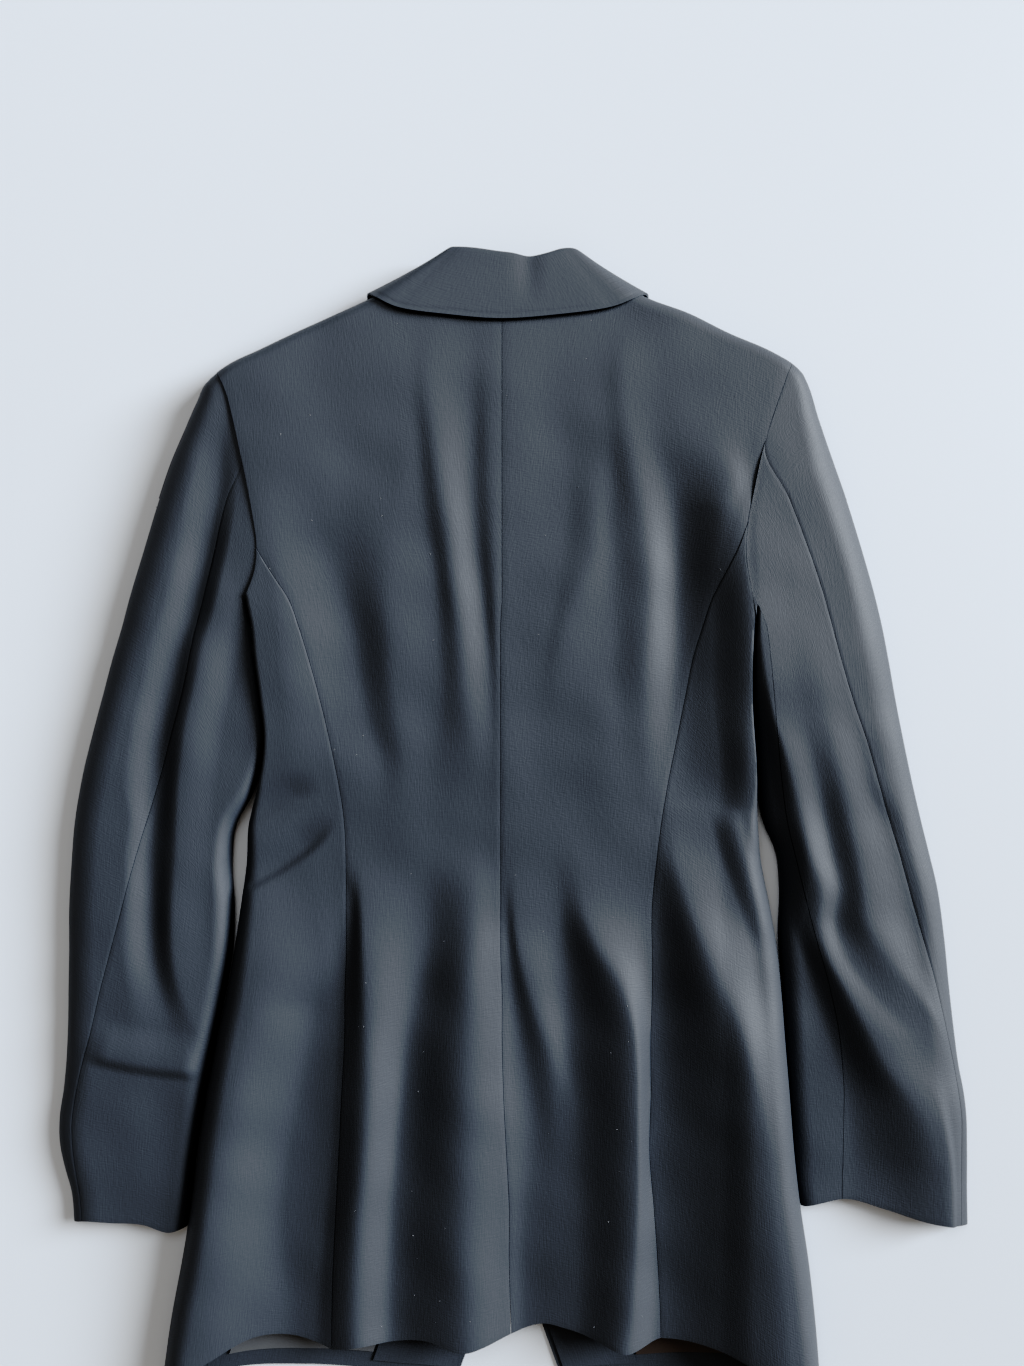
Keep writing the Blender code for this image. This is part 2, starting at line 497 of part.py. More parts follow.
def edge_line(table, top, low, radii, inward):
    """A side fold: points down it, its radius at each and which way is in."""
    y = np.linspace(top, low, EDGE_SAMPLES)
    x = smooth(table, y)
    radius = np.interp(np.linspace(0, 1, EDGE_SAMPLES), RADIUS_AT, radii)
    return np.stack([x, y], 1), radius, inward


def side_folds():
    """Every side fold of the garment, in plan."""
    lines = []
    for side in ("left", "right"):
        inward = -OUT[side]
        shoulder = np.array(SHOULDER[side], float)
        x = np.linspace(shoulder[0, 0], shoulder[-1, 0], SHOULDER_SAMPLES)
        y = smooth(shoulder, x)
        radius = np.full(SHOULDER_SAMPLES, SHOULDER_RADIUS)
        lines.append((np.stack([x, y], 1), radius, None))
        low = CUFF[side][0][1] - PAST_CUFF
        outer = column(SLEEVE[side], 1)
        inner = column(SLEEVE[side], 4)
        lines.append(edge_line(outer, TIP[side], low, OUTER_RADIUS, inward))
        lines.append(edge_line(inner, UNDERARM_Y[side], low, INNER_RADIUS, -inward))
        lines.append(edge_line(SIDE_LINE[side], UNDERARM_Y[side], LOWEST_HEM, SIDE_RADIUS, inward))
    return lines


LINES = side_folds()


def rounding(points):
    """Nearness of each point to the side folds: share of the radius, radius there, and the way in."""
    share = np.full(len(points), np.inf)
    radius = np.ones(len(points))
    inward = np.zeros((len(points), 2))
    plain = np.full(len(points), np.inf)
    for path, radii, way_in in LINES:
        far, gap, run, _, _, way = nearest(points, path)
        r = np.interp(run, np.linspace(0, 1, len(radii)), radii)
        across = np.stack([-way[:, 1], way[:, 0]], 1)
        across /= np.linalg.norm(across, axis=1)[:, None]
        flip = across[:, 1] > 0 if way_in is None else across[:, 0] * way_in < 0
        across[flip] *= -1
        close = far < AT_FOLD
        here = np.where(close[:, None], across, gap / np.maximum(far, 1e-9)[:, None])
        better = far / r < share
        share = np.where(better, far / r, share)
        radius = np.where(better, r, radius)
        inward[better] = here[better]
        plain = np.minimum(plain, far)
    return share, radius, inward, plain


def crown(points, where):
    """Height of the upper layer's outside, before it rounds down to the side folds."""
    y = points[:, 1]
    if where == "body":
        total = smooth(CROWN_BODY, y) + folds_at(points, BODY_FOLDS)
        total += fold_lines(points, SKIRT) + fold_lines(points, SHOULDERS)
    else:
        total = smooth(CROWN_SLEEVE, y) + folds_at(points, SLEEVE_FOLDS[where])
    return np.maximum(total, LOWEST_TOP)


def upper_wall(points, where, on_fold):
    """The outside and the inside of the upper layer over these plan points."""
    share, radius, inward, _ = rounding(points)
    share = np.where(on_fold, 0.0, np.clip(share, 0, 1))
    rise = crown(points, where) - FOLD_HEIGHT
    step = 1.0
    dx = (crown(points + (step, 0), where) - crown(points - (step, 0), where)) / (2 * step)
    dy = (crown(points + (0, step), where) - crown(points - (0, step), where)) / (2 * step)
    slant = np.minimum(np.sqrt(1 + dx * dx + dy * dy), MOST_SLANT)
    cos = 1 - share
    sin = np.sqrt(1 - cos * cos)
    size = np.sqrt((rise * cos) ** 2 + (radius * sin) ** 2)
    z = FOLD_HEIGHT + rise * sin
    inner_xy = points + inward * (WALL * rise * cos / size)[:, None]
    inner_z = z - WALL * (radius * sin / size) * (1 + (slant - 1) * sin)
    return np.column_stack([points, z]), np.column_stack([inner_xy, inner_z])


def lower_wall(points, raised, on_fold, height):
    """The outside and the inside of the lower layer: flat, and up to this height at the folds."""
    _, _, inward, far = rounding(points)
    share = np.where(on_fold, 0.0, np.clip(far / UNDER_RADIUS, 0, 1))
    cos = 1 - share
    sin = np.sqrt(1 - cos * cos)
    size = np.sqrt((height * cos) ** 2 + (UNDER_RADIUS * sin) ** 2)
    z = np.maximum(height * (1 - sin), raised)
    inner_xy = points + inward * (WALL * height * cos / size)[:, None]
    inner_z = z + WALL * UNDER_RADIUS * sin / size
    return np.column_stack([points, z]), np.column_stack([inner_xy, inner_z])


def inside_line(line, y, x, side):
    """How far a point is inside a front's edge line."""
    return (x - smooth(line, y)) * OUT[side]


def ramp(distance, height):
    """The full height inside a region, down to nought over the ramp's length outside it."""
    t = np.clip(1 + distance / RAMP, 0, 1)
    return height * t * t * (3 - 2 * t)


def raised_front(points, side):
    """How far the front is lifted by the lapel, the collar, the button and the other front under it."""
    x, y = points[:, 0], points[:, 1]
    inside = inside_line(FRONT_LINE[side], y, x, side)
    low = LAPEL[-1][0] if side == "right" else LAPEL_LOW_LEFT
    width = np.where(y > COLLAR_END_Y, COLLAR_WIDTH, smooth(LAPEL, y))
    beside = ramp(width + LIFT_MARGIN - inside, 1.0) * ramp(y - low + 2 * LIFT_MARGIN, 1.0)
    at_neck = np.clip((y - COLLAR_END_Y - RAMP) / (2 * RAMP), 0, 1)
    total = beside * (LAYER + COLLAR_LIFT * at_neck)
    if side == "right":
        away = np.hypot(x - BUTTON_CENTRE[0], y - BUTTON_CENTRE[1])
        return np.maximum(total, ramp(BUTTON_RADIUS + 2 * LIFT_MARGIN - away, OVER_BUTTON))
    over = inside_line(FRONT_LINE["right"], y, x, "right")
    lifted = ramp(over + LIFT_MARGIN, 1.0) * (OVER_FRONT + raised_front(points, "right"))
    return np.maximum(total, lifted)


def plan(left, right, top, low, rows, spread):
    """A patch between four edges. Rows run from left to right, and the ends fade into the middle."""
    edge_l = left(rows)
    edge_r = right(rows)
    out = np.empty((len(rows), spread.shape[1], 2))
    fade_top = np.clip(1 - rows / TOP_FADE, 0, 1) ** FADE_POWER
    fade_low = np.clip((rows - 1) / HEM_FADE + 1, 0, 1) ** FADE_POWER
    for i, u in enumerate(spread):
        straight = np.outer(1 - u, edge_l[i]) + np.outer(u, edge_r[i])
        chord_top = np.outer(1 - u, edge_l[0]) + np.outer(u, edge_r[0])
        chord_low = np.outer(1 - u, edge_l[-1]) + np.outer(u, edge_r[-1])
        out[i] = straight + fade_top[i] * (top(u) - chord_top) + fade_low[i] * (low(u) - chord_low)
    return out


def seam_edge(table, top, low, shift):
    """A seam or fold by share of its height, moved across by a part of the gap."""

    def at(rows):
        y = top + (low - top) * rows
        return np.stack([smooth(table, y) + shift, y], 1)

    return at


def across_edge(table, start, end):
    """A hem, neck or shoulder edge by share of its width."""

    def at(u):
        x = start + (end - start) * u
        return np.stack([x, smooth(table, x)], 1)

    return at


def cluster(count, share_left, share_right):
    """Shares from 0 to 1, closer together where the cloth turns at a side fold."""
    if share_left and share_right:
        half = cluster(count // 2 + 1, share_left * 2, 0) * 0.5
        rest = 1 - cluster(count - count // 2, share_right * 2, 0)[::-1] * 0.5
        return np.concatenate([half[:-1], rest])
    if share_right:
        return 1 - cluster(count, share_right, 0)[::-1]
    if not share_left:
        return np.linspace(0, 1, count)
    turn = max(3, round((count - 1) * (TURN_SHARE + TURN_GROWTH * share_left)))
    turn = min(turn, count - 2)
    angle = np.linspace(0, np.pi / 2, turn + 1)
    start = share_left * (1 - np.cos(angle))
    return np.concatenate([start, np.linspace(share_left, 1, count - turn)[1:]])


def spread_rows(first, widths, count, left_radius, right_radius):
    """Where each row's points lie across it: as the first row says at the top, then by the row's width."""
    rows = []
    for i, width in enumerate(widths):
        most = MOST_TURN_OF_TWO if left_radius and right_radius else MOST_TURN
        left = min(left_radius / max(width, 1), most)
        right = min(right_radius / max(width, 1), most)
        blend = max(0.0, 1 - i / BLEND_ROWS)
        rows.append(blend * first + (1 - blend) * cluster(count, left, right))
    return np.array(rows)


def wall_from(name, outer, inner):
    """A closed wall between two grids of points."""
    rows, columns = outer.shape[:2]
    points = np.concatenate([outer.reshape(-1, 3), inner.reshape(-1, 3)])
    half = rows * columns
    faces = []
    for i in range(rows - 1):
        for j in range(columns - 1):
            a, b = i * columns + j, i * columns + j + 1
            c, d = b + columns, a + columns
            faces.append((a, b, c, d))
            faces.append((half + d, half + c, half + b, half + a))
    ring = list(range(columns))
    ring += [i * columns + columns - 1 for i in range(1, rows)]
    ring += [(rows - 1) * columns + j for j in range(columns - 2, -1, -1)]
    ring += [i * columns for i in range(rows - 2, 0, -1)]
    for a, b in zip(ring, ring[1:] + ring[:1]):
        faces.append((b, a, half + a, half + b))
    return solid(name, points, faces)


def solid(name, points, faces):
    """An object from points in millimetres, with its faces outwards."""
    tri = []
    for face in faces:
        for k in range(1, len(face) - 1):
            tri.append((face[0], face[k], face[k + 1]))
    p = points[np.array(tri)]
    volume = np.einsum("ij,ij->i", p[:, 0], np.cross(p[:, 1], p[:, 2])).sum()
    if volume < 0:
        tri = [t[::-1] for t in tri]
    mesh = bpy.data.meshes.new(name)
    mesh.from_pydata([tuple(q) for q in (points - MIDDLE) * MM], [], tri)
    mesh.update()
    obj = bpy.data.objects.new(name, mesh)
    bpy.context.scene.collection.objects.link(obj)
    return obj


def cover(obj, look):
    """Gives a piece its look, which is made when it's first used."""
    found = bpy.data.materials.get(look)
    if found is None:
        colour, roughness, sheen = LOOKS[look]
        found = bpy.data.materials.new(look)
        found.use_nodes = True
        shader = found.node_tree.nodes["Principled BSDF"]
        shader.inputs["Base Color"].default_value = (*colour, 1)
        shader.inputs["Roughness"].default_value = roughness
        shader.inputs["Sheen Weight"].default_value = sheen
    obj.data.materials.append(found)


def body_heights(top, turn, low):
    """Heights of the back's and the front's rows, from the armhole's division to an even one below it."""
    above = top + (turn - top) * np.array(ARM_ROWS)
    return np.concatenate([above, np.linspace(turn, low, SIDE_ROWS + 1)[1:]])


def joined_edge(side, seam, low, shift):
    """The armhole from the shoulder's tip, then the seam down to the hem."""
    turn = BACK_SEAM_TOP[side]
    y = body_heights(TIP[side], turn, low)
    x = np.where(y >= turn, smooth(ARM[side], y), smooth(seam, y))
    return np.stack([x + shift, y], 1)


def panel(points, where, layer, on_fold, raised=0.0, height=FOLD_HEIGHT):
    """Outer and inner grids over a plan grid."""
    rows, columns = points.shape[:2]
    flat = points.reshape(-1, 2)
    mask = on_fold.reshape(-1)
    if layer == "upper":
        outer, inner = upper_wall(flat, where, mask)
    else:
        outer, inner = lower_wall(flat, raised, mask, height)
    return outer.reshape(rows, columns, 3), inner.reshape(rows, columns, 3)


def fold_mask(shape, first, last):
    mask = np.zeros(shape[:2], bool)
    if first:
        mask[:, 0] = True
    if last:
        mask[:, -1] = True
    return mask


def join(parts):
    """Patches side by side, where each starts on the last one's final column."""
    outer = [parts[0][0]] + [p[0][:, 1:] for p in parts[1:]]
    inner = [parts[0][1]] + [p[1][:, 1:] for p in parts[1:]]
    return np.concatenate(outer, 1), np.concatenate(inner, 1)


def make_back(side):
    out = OUT[side]
    low = HEM_BACK[side][-1][1]
    edge = joined_edge(side, BACK_SEAM[side], low, -out * SEAM_GAP / 2)
    share = (edge[:, 1] - edge[0, 1]) / (edge[-1, 1] - edge[0, 1])
    neck_y, hem_y = NECK[side][0][1], HEM_BACK[side][0][1]
    middle_y = neck_y + (hem_y - neck_y) * share
    middle = np.stack([smooth(column(BODY, 4), middle_y) + out * SEAM_GAP / 2, middle_y], 1)
    top_table = tuple(NECK[side]) + tuple(SHOULDER[side][1:])
    top = across_edge(top_table, middle[0, 0], edge[0, 0])
    hem = across_edge(HEM_BACK[side], middle[-1, 0], edge[-1, 0])
    u = np.linspace(0, 1, BACK_COLUMNS + 1)
    spread = np.tile(u, (len(edge), 1))
    grid = plan(lambda r: middle, lambda r: edge, top, hem, share, spread)
    mask = np.zeros(grid.shape[:2], bool)
    neck_end = NECK[side][-1][0]
    mask[0] = (grid[0, :, 0] - neck_end) * out >= 0
    return wall_from(f"back_{side}", *panel(grid, "body", "upper", mask))


def make_side(side):
    out = OUT[side]
    turn, under = BACK_SEAM_TOP[side], UNDERARM_Y[side]
    rows = np.linspace(0, 1, SIDE_ROWS + 1)
    low_back, low_fold = HEM_SIDE[side][0][1], HEM_SIDE[side][-1][1]
    low_front = HEM_UNDER[side][-1][1]
    seam = seam_edge(BACK_SEAM[side], turn, low_back, out * SEAM_GAP / 2)
    fold = seam_edge(SIDE_LINE[side], under, low_fold, 0)
    front = seam_edge(SIDE_SEAM[side], turn, low_front, out * SEAM_GAP / 2)
    shift = -out * SEAM_GAP / 2

    def armhole(u):
        y = turn + (under - turn) * u
        gap = np.where(u < END_SHARE, -shift, shift * (1 - u))
        x = smooth(ARM[side], y) + gap
        x = np.where(u > 1 - END_SHARE, fold(np.zeros(1))[0, 0], x)
        return np.stack([x, y], 1)

    first = np.array(UNDERARM)
    widths = np.abs(seam(rows)[:, 0] - fold(rows)[:, 0])
    spread = spread_rows(first, widths, len(first), 0, SIDE_RADIUS[1])
    hem = across_edge(HEM_SIDE[side], seam(rows)[-1, 0], fold(rows)[-1, 0])
    grid = plan(seam, fold, armhole, hem, rows, spread)
    upper = panel(grid, "body", "upper", fold_mask(grid.shape, False, True))
    first = np.array(UNDERARM_BELOW)
    widths = np.abs(front(rows)[:, 0] - fold(rows)[:, 0])
    spread = spread_rows(first, widths, len(first), UNDER_RADIUS, 0)
    hem = across_edge(HEM_UNDER[side], fold(rows)[-1, 0], front(rows)[-1, 0])
    grid = plan(fold, front, lambda u: armhole(1 - u), hem, rows, spread)
    lower = panel(grid, "body", "lower", fold_mask(grid.shape, True, False))
    return wall_from(f"side_{side}", *join([upper, lower]))


def make_front(side):
    out = OUT[side]
    low = HEM_UNDER[side][-1][1]
    edge = joined_edge(side, SIDE_SEAM[side], low, -out * SEAM_GAP / 2)
    share = (edge[:, 1] - edge[0, 1]) / (edge[-1, 1] - edge[0, 1])
    top_y, hem_y = FRONT_EDGE[0][0], HEM_FRONT[side][0][1]
    inner_y = body_heights(top_y, FRONT_TURN_Y, hem_y)
    inner = np.stack([smooth(FRONT_LINE[side], inner_y), inner_y], 1)
    top = across_edge(SHOULDER[side], inner[0, 0], edge[0, 0])
    hem = across_edge(HEM_FRONT[side], inner[-1, 0], edge[-1, 0])
    spread = np.tile(np.array(FRONT_SPREAD), (len(edge), 1))
    grid = plan(lambda r: inner, lambda r: edge, top, hem, share, spread)
    mask = np.zeros(grid.shape[:2], bool)
    mask[0] = True
    raised = raised_front(grid.reshape(-1, 2), side)
    walls = panel(grid, "body", "lower", mask, raised, FOLD_HEIGHT - SEAM_GAP)
    return wall_from(f"front_{side}", *walls)


def armhole_of_sleeve(side, start, end):
    """The sleeve's edge at the armhole between two heights, clear of the body by the seam's gap."""
    out = OUT[side]
    outer = smooth(column(SLEEVE[side], 1), TIP[side])
    inner = smooth(column(SLEEVE[side], 4), UNDERARM_Y[side])

    def at(u):
        y = start + (end - start) * u
        x = smooth(ARM[side], y) + out * SEAM_GAP / 2
        x = np.where(y > TIP[side] - 0.01, outer + out * SEAM_GAP / 2, x)
        x = np.where(y < UNDERARM_Y[side] + 0.01, inner, x)
        return np.stack([x, y], 1)

    return at


def arm_heights(side):
    """Heights of the shared points down the armhole, above the back seam and below it."""
    top, turn, under = TIP[side], BACK_SEAM_TOP[side], UNDERARM_Y[side]
    above = top + (turn - top) * np.array(ARM_ROWS)
    below = turn + (under - turn) * np.array(UNDERARM)
    below_under = turn + (under - turn) * (1 - np.array(UNDERARM_BELOW)[::-1])
    return above, below, below_under


def shares(heights):
    return (heights - heights[0]) / (heights[-1] - heights[0])


def sleeve_patch(side, left, right, heights, rows, radii, layer):
    """A patch of a sleeve between two of its lines, from the armhole to the cuff."""
    first = shares(heights)
    widths = np.abs(left(rows)[:, 0] - right(rows)[:, 0])
    spread = spread_rows(first, widths, len(first), *radii)
    top = armhole_of_sleeve(side, heights[0], heights[-1])
    hem = across_edge(CUFF[side], left(rows)[-1, 0], right(rows)[-1, 0])
    grid = plan(left, right, top, hem, rows, spread)
    mask = fold_mask(grid.shape, bool(radii[0]), bool(radii[1]))
    return panel(grid, side, layer, mask)


def sleeve_lines(side):
    """The sleeve's folds and seams as edges, with the gap on each side of a seam."""
    out = OUT[side]
    table = SLEEVE[side]
    above, below, _ = arm_heights(side)

    def line(n, top, shift=0.0):
        points = column(table, n)
        low = float(smooth(CUFF[side], smooth(points, CUFF[side][0][1])))
        edge = seam_edge(points, top, low, shift * out * SEAM_GAP / 2)
        if n not in (2, 3):
            return edge
        meets = smooth(ARM[side], top) + out * SEAM_GAP / 2

        def at(rows):
            found = edge(rows)
            found[:, 0] += (meets - edge(np.zeros(1))[0, 0]) * np.clip(1 - rows * SEAM_JOIN, 0, 1)
            return found

        return at

    return line, above, below


def make_top_sleeve(side):
    line, above, below = sleeve_lines(side)
    rows = np.linspace(0, 1, SLEEVE_ROWS + 1) ** SLEEVE_CROWDING
    elbow = line(2, above[ELBOW_ROW], 1)
    outer = line(1, above[0])
    up_rows = above[: ELBOW_ROW + 1][::-1]
    upper = sleeve_patch(side, elbow, outer, up_rows, rows, (0, OUTER_RADIUS[1]), "upper")
    if side == "left":
        seam = line(3, above[-1], 1)
        lower = sleeve_patch(side, outer, seam, above, rows, (UNDER_RADIUS, 0), "lower")
        return wall_from(f"top_sleeve_{side}", *join([upper, lower]))
    below_under = arm_heights(side)[2]
    heights = np.concatenate([above, below_under[1:]])
    inner = line(4, below[-1])
    seam = line(3, below[FRONT_SEAM_ROW], -1)
    lower = sleeve_patch(side, outer, inner, heights, rows, (UNDER_RADIUS, UNDER_RADIUS), "lower")
    up_rows = below[FRONT_SEAM_ROW:][::-1]
    strip = sleeve_patch(side, inner, seam, up_rows, rows, (INNER_RADIUS[1], 0), "upper")
    return wall_from(f"top_sleeve_{side}", *join([upper, lower, strip]))


def make_under_sleeve(side):
    line, above, below = sleeve_lines(side)
    rows = np.linspace(0, 1, SLEEVE_ROWS + 1) ** SLEEVE_CROWDING
    elbow = line(2, above[ELBOW_ROW], -1)
    heights = np.concatenate([above[ELBOW_ROW:], below[1:]])
    if side == "right":
        heights = heights[: len(above) - ELBOW_ROW + FRONT_SEAM_ROW]
        seam = line(3, below[FRONT_SEAM_ROW], 1)
        upper = sleeve_patch(side, elbow, seam, heights, rows, (0, 0), "upper")
        return wall_from(f"under_sleeve_{side}", *upper)
    inner = line(4, below[-1])
    seam = line(3, above[-1], -1)
    upper = sleeve_patch(side, elbow, inner, heights, rows, (0, INNER_RADIUS[1]), "upper")
    below_under = arm_heights(side)[2]
    lower = sleeve_patch(side, inner, seam, below_under[::-1], rows, (UNDER_RADIUS, 0), "lower")
    return wall_from(f"under_sleeve_{side}", *join([upper, lower]))


def make_lapel(side):
    out = OUT[side]
    low = LAPEL[-1][0] if side == "right" else LAPEL_LOW_LEFT
    y = np.linspace(LAPEL[0][0], low, LAPEL_ROWS)
    y = np.unique(np.concatenate([y, [row[0] for row in LAPEL[:LAPEL_NOTCH_ROWS]]]))[::-1]
    fold = smooth(FRONT_LINE[side], y)
    width = smooth(LAPEL, y)
    u = np.linspace(LAPEL_START, 1, LAPEL_COLUMNS)
    x = fold[:, None] + out * width[:, None] * u
    grid = np.stack([x, np.repeat(y[:, None], LAPEL_COLUMNS, 1), np.zeros_like(x)], 2)
    top = grid.copy()
    top[..., 2] = WALL
    return wall_from(f"lapel_{side}", grid, top)


def make_collar():
    rows = []
    for neck, roll, fall, way in COLLAR:
        neck, roll, fall = np.array(neck), np.array(roll), np.array(fall)
        way = np.array(way) / np.linalg.norm(way)
        back = (roll - neck) / np.linalg.norm(roll - neck)
        bend = COLLAR_BEND / 2
        start = roll - back * bend * COLLAR_BEND_DEPTH
        turn = roll + way * bend
        far = start + way * 2 * bend
        rows.append([neck, (2 * neck + start) / 3, (neck + 2 * start) / 3, start, turn, far,
                     (3 * far + fall) / 4, (far + fall) / 2, (far + 3 * fall) / 4, fall])
    rows = np.array(rows)
    at = np.arange(len(rows))
    fine = np.linspace(0, len(rows) - 1, COLLAR_ROWS)
    middle = np.empty((COLLAR_ROWS, rows.shape[1], 3))
    for j in range(rows.shape[1]):
        for k in range(3):
            middle[:, j, k] = smooth(np.stack([at, rows[:, j, k]], 1), fine)
    along = np.gradient(middle, axis=0)
    across = np.gradient(middle, axis=1)
    normal = np.cross(along, across)
    normal /= np.linalg.norm(normal, axis=2)[..., None]
    walls = [middle + normal * WALL / 2, middle - normal * WALL / 2]
    for wall in walls:
        wall[..., 2] = np.maximum(wall[..., 2], 0)
    return wall_from("collar", *walls)


def make_strip(name, side, insets, low, high):
    """A strip on the front's inner face, between two heights over the hem, by its columns' insets."""
    line = FRONT_LINE[side]
    out = OUT[side]
    rows = np.linspace(0, 1, STRIP_ROWS)
    insets = np.array(insets, float)
    hem = smooth(HEM_FRONT[side], smooth(line, LOWEST_FRONT) + out * insets)
    y = hem + (low + (high - low) * rows)[:, None]
    x = smooth(line, y.reshape(-1)).reshape(y.shape) + out * insets
    flat = np.stack([x.reshape(-1), y.reshape(-1)], 1)
    raised = raised_front(flat, side)
    base = np.column_stack([flat, raised + WALL + SEAM_GAP]).reshape(*y.shape, 3)
    return wall_from(name, base, base + (0, 0, LINING_WALL))


def make_button():
    points = []
    radii = (BUTTON_RADIUS - BUTTON_RIM, BUTTON_RADIUS, BUTTON_RADIUS, BUTTON_RADIUS - BUTTON_RIM)
    heights = (0, BUTTON_RIM, BUTTON_HEIGHT - BUTTON_RIM, BUTTON_HEIGHT)
    for r, z in zip(radii, heights):
        for k in range(BUTTON_SIDES):
            a = 2 * np.pi * k / BUTTON_SIDES
            points.append((BUTTON_CENTRE[0] + r * np.cos(a), BUTTON_CENTRE[1] + r * np.sin(a), z))
    n = BUTTON_SIDES
    faces = [tuple(range(n - 1, -1, -1)), tuple(range(3 * n, 4 * n))]
    for level in range(3):
        for k in range(n):
            a, b = level * n + k, level * n + (k + 1) % n
            faces.append((a, b, b + n, a + n))
    return solid("button", np.array(points), faces)


def clear_scene():
    for obj in list(bpy.data.objects):
        bpy.data.objects.remove(obj)


clear_scene()
for hand in ("left", "right"):
    for make in (make_back, make_side, make_front, make_top_sleeve, make_under_sleeve, make_lapel):
        cover(make(hand), "black_wool")
cover(make_collar(), "black_wool")
cover(make_button(), "black_button")
for name, side, insets, low, high, look in STRIPS:
    cover(make_strip(name, side, insets, low, high), look)
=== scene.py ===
import bpy
import numpy as np
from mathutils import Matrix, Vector


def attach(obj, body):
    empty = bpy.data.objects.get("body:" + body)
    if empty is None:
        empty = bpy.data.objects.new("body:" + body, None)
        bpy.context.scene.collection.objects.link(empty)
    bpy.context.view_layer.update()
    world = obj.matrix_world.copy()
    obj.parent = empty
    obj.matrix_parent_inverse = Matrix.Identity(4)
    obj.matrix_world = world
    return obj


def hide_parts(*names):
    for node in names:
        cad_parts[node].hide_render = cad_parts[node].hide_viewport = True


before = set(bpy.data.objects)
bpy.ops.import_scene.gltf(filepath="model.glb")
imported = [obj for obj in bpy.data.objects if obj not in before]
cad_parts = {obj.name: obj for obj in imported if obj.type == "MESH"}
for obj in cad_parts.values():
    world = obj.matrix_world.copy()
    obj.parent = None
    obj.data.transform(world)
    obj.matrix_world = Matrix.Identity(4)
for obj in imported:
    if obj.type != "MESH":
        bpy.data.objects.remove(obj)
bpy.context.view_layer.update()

# ------------------------------------------------------------------ The back
# Two halves of worsted wool, sewn down the middle from the neck to the hem. They lie uppermost, so every fold
# of the skirt and every drag line of the shoulders shows in them. Sizes are in millimetres, and the blazer is
# drawn about its own origin, which MIDDLE takes to the frame's.
MIDDLE = np.array((-1.0, 1.3, 0.0))
MM = 0.001
CLOTH = 1.6  # wall of each panel
SEAM_GAP = 0.3  # from panel to panel at a seam
FOLD_HEIGHT = 4.2  # of a side fold off the surface
LOWEST_TOP = 8.5  # least height of the upper layer
STEP = 2.3  # from point to point over the back

# Seam of each armhole from the shoulder's tip to the underarm: y, x.
ARMHOLE = {
    "left": ((321, -212), (314, -207), (303, -202), (286, -197.5), (262, -192), (239, -187), (218, -183),
             (194, -180), (176, -182), (166, -185.5), (159, -188.5)),
    "right": ((327, 196), (318, 191), (305, 186), (288, 180), (262, 172), (236, 166), (211, 161),
              (193, 159.5), (176, 161), (163, 163.5), (152, 167.6)),
}
# Lines down the body: y, left side fold, left side seam, left back seam, middle, right back seam,
# right side seam, right side fold.
SIDE_FOLD = {"left": 1, "right": 7}
SIDE_SEAM = {"left": 2, "right": 6}
BACK_SEAM = {"left": 3, "right": 5}
MIDDLE_SEAM = 4
BODY_LINES = (
    (211, -188.5, -186, -187, -9, 161, 161, 167.6),
    (194, -188.5, -180, -180, -9, 154.5, 155, 167.6),
    (176, -188.5, -172, -169, -9, 146, 149, 167.6),
    (159, -188.5, -164.5, -158, -9, 138, 143.5, 167.6),
    (140, -185, -160, -151, -10, 132, 139, 166),
    (120, -183, -156.5, -145, -10, 126, 136, 165),
    (90, -179, -151, -137, -10, 120, 135, 165),
    (60, -176, -149, -130, -10, 114, 137, 167),
    (30, -180.5, -152, -124, -10, 108, 141, 170),
    (0, -189.5, -157.5, -120, -10, 103, 146, 173),
    (-30, -192, -162, -119, -10, 99.5, 150, 176.5),
    (-60, -196, -166, -119, -10, 97, 155, 182.5),
    (-90, -200.5, -170, -119, -10, 97, 159, 187.5),
    (-120, -206, -174, -120, -9, 97, 162, 190.5),
    (-150, -212, -179, -120, -9, 96, 165, 192.5),
    (-190, -219.5, -186, -122, -8, 96, 168, 195.5),
    (-230, -226, -193, -124, -6, 95, 171, 198.5),
    (-270, -231, -200, -126, -4, 98, 176, 203),
    (-310, -237.5, -208, -128, -4, 101, 181, 209),
    (-350, -245, -216, -129, -3, 103, 186, 213.5),
    (-404, -252.5, -223, -129, -3, 103, 190, 218),
)
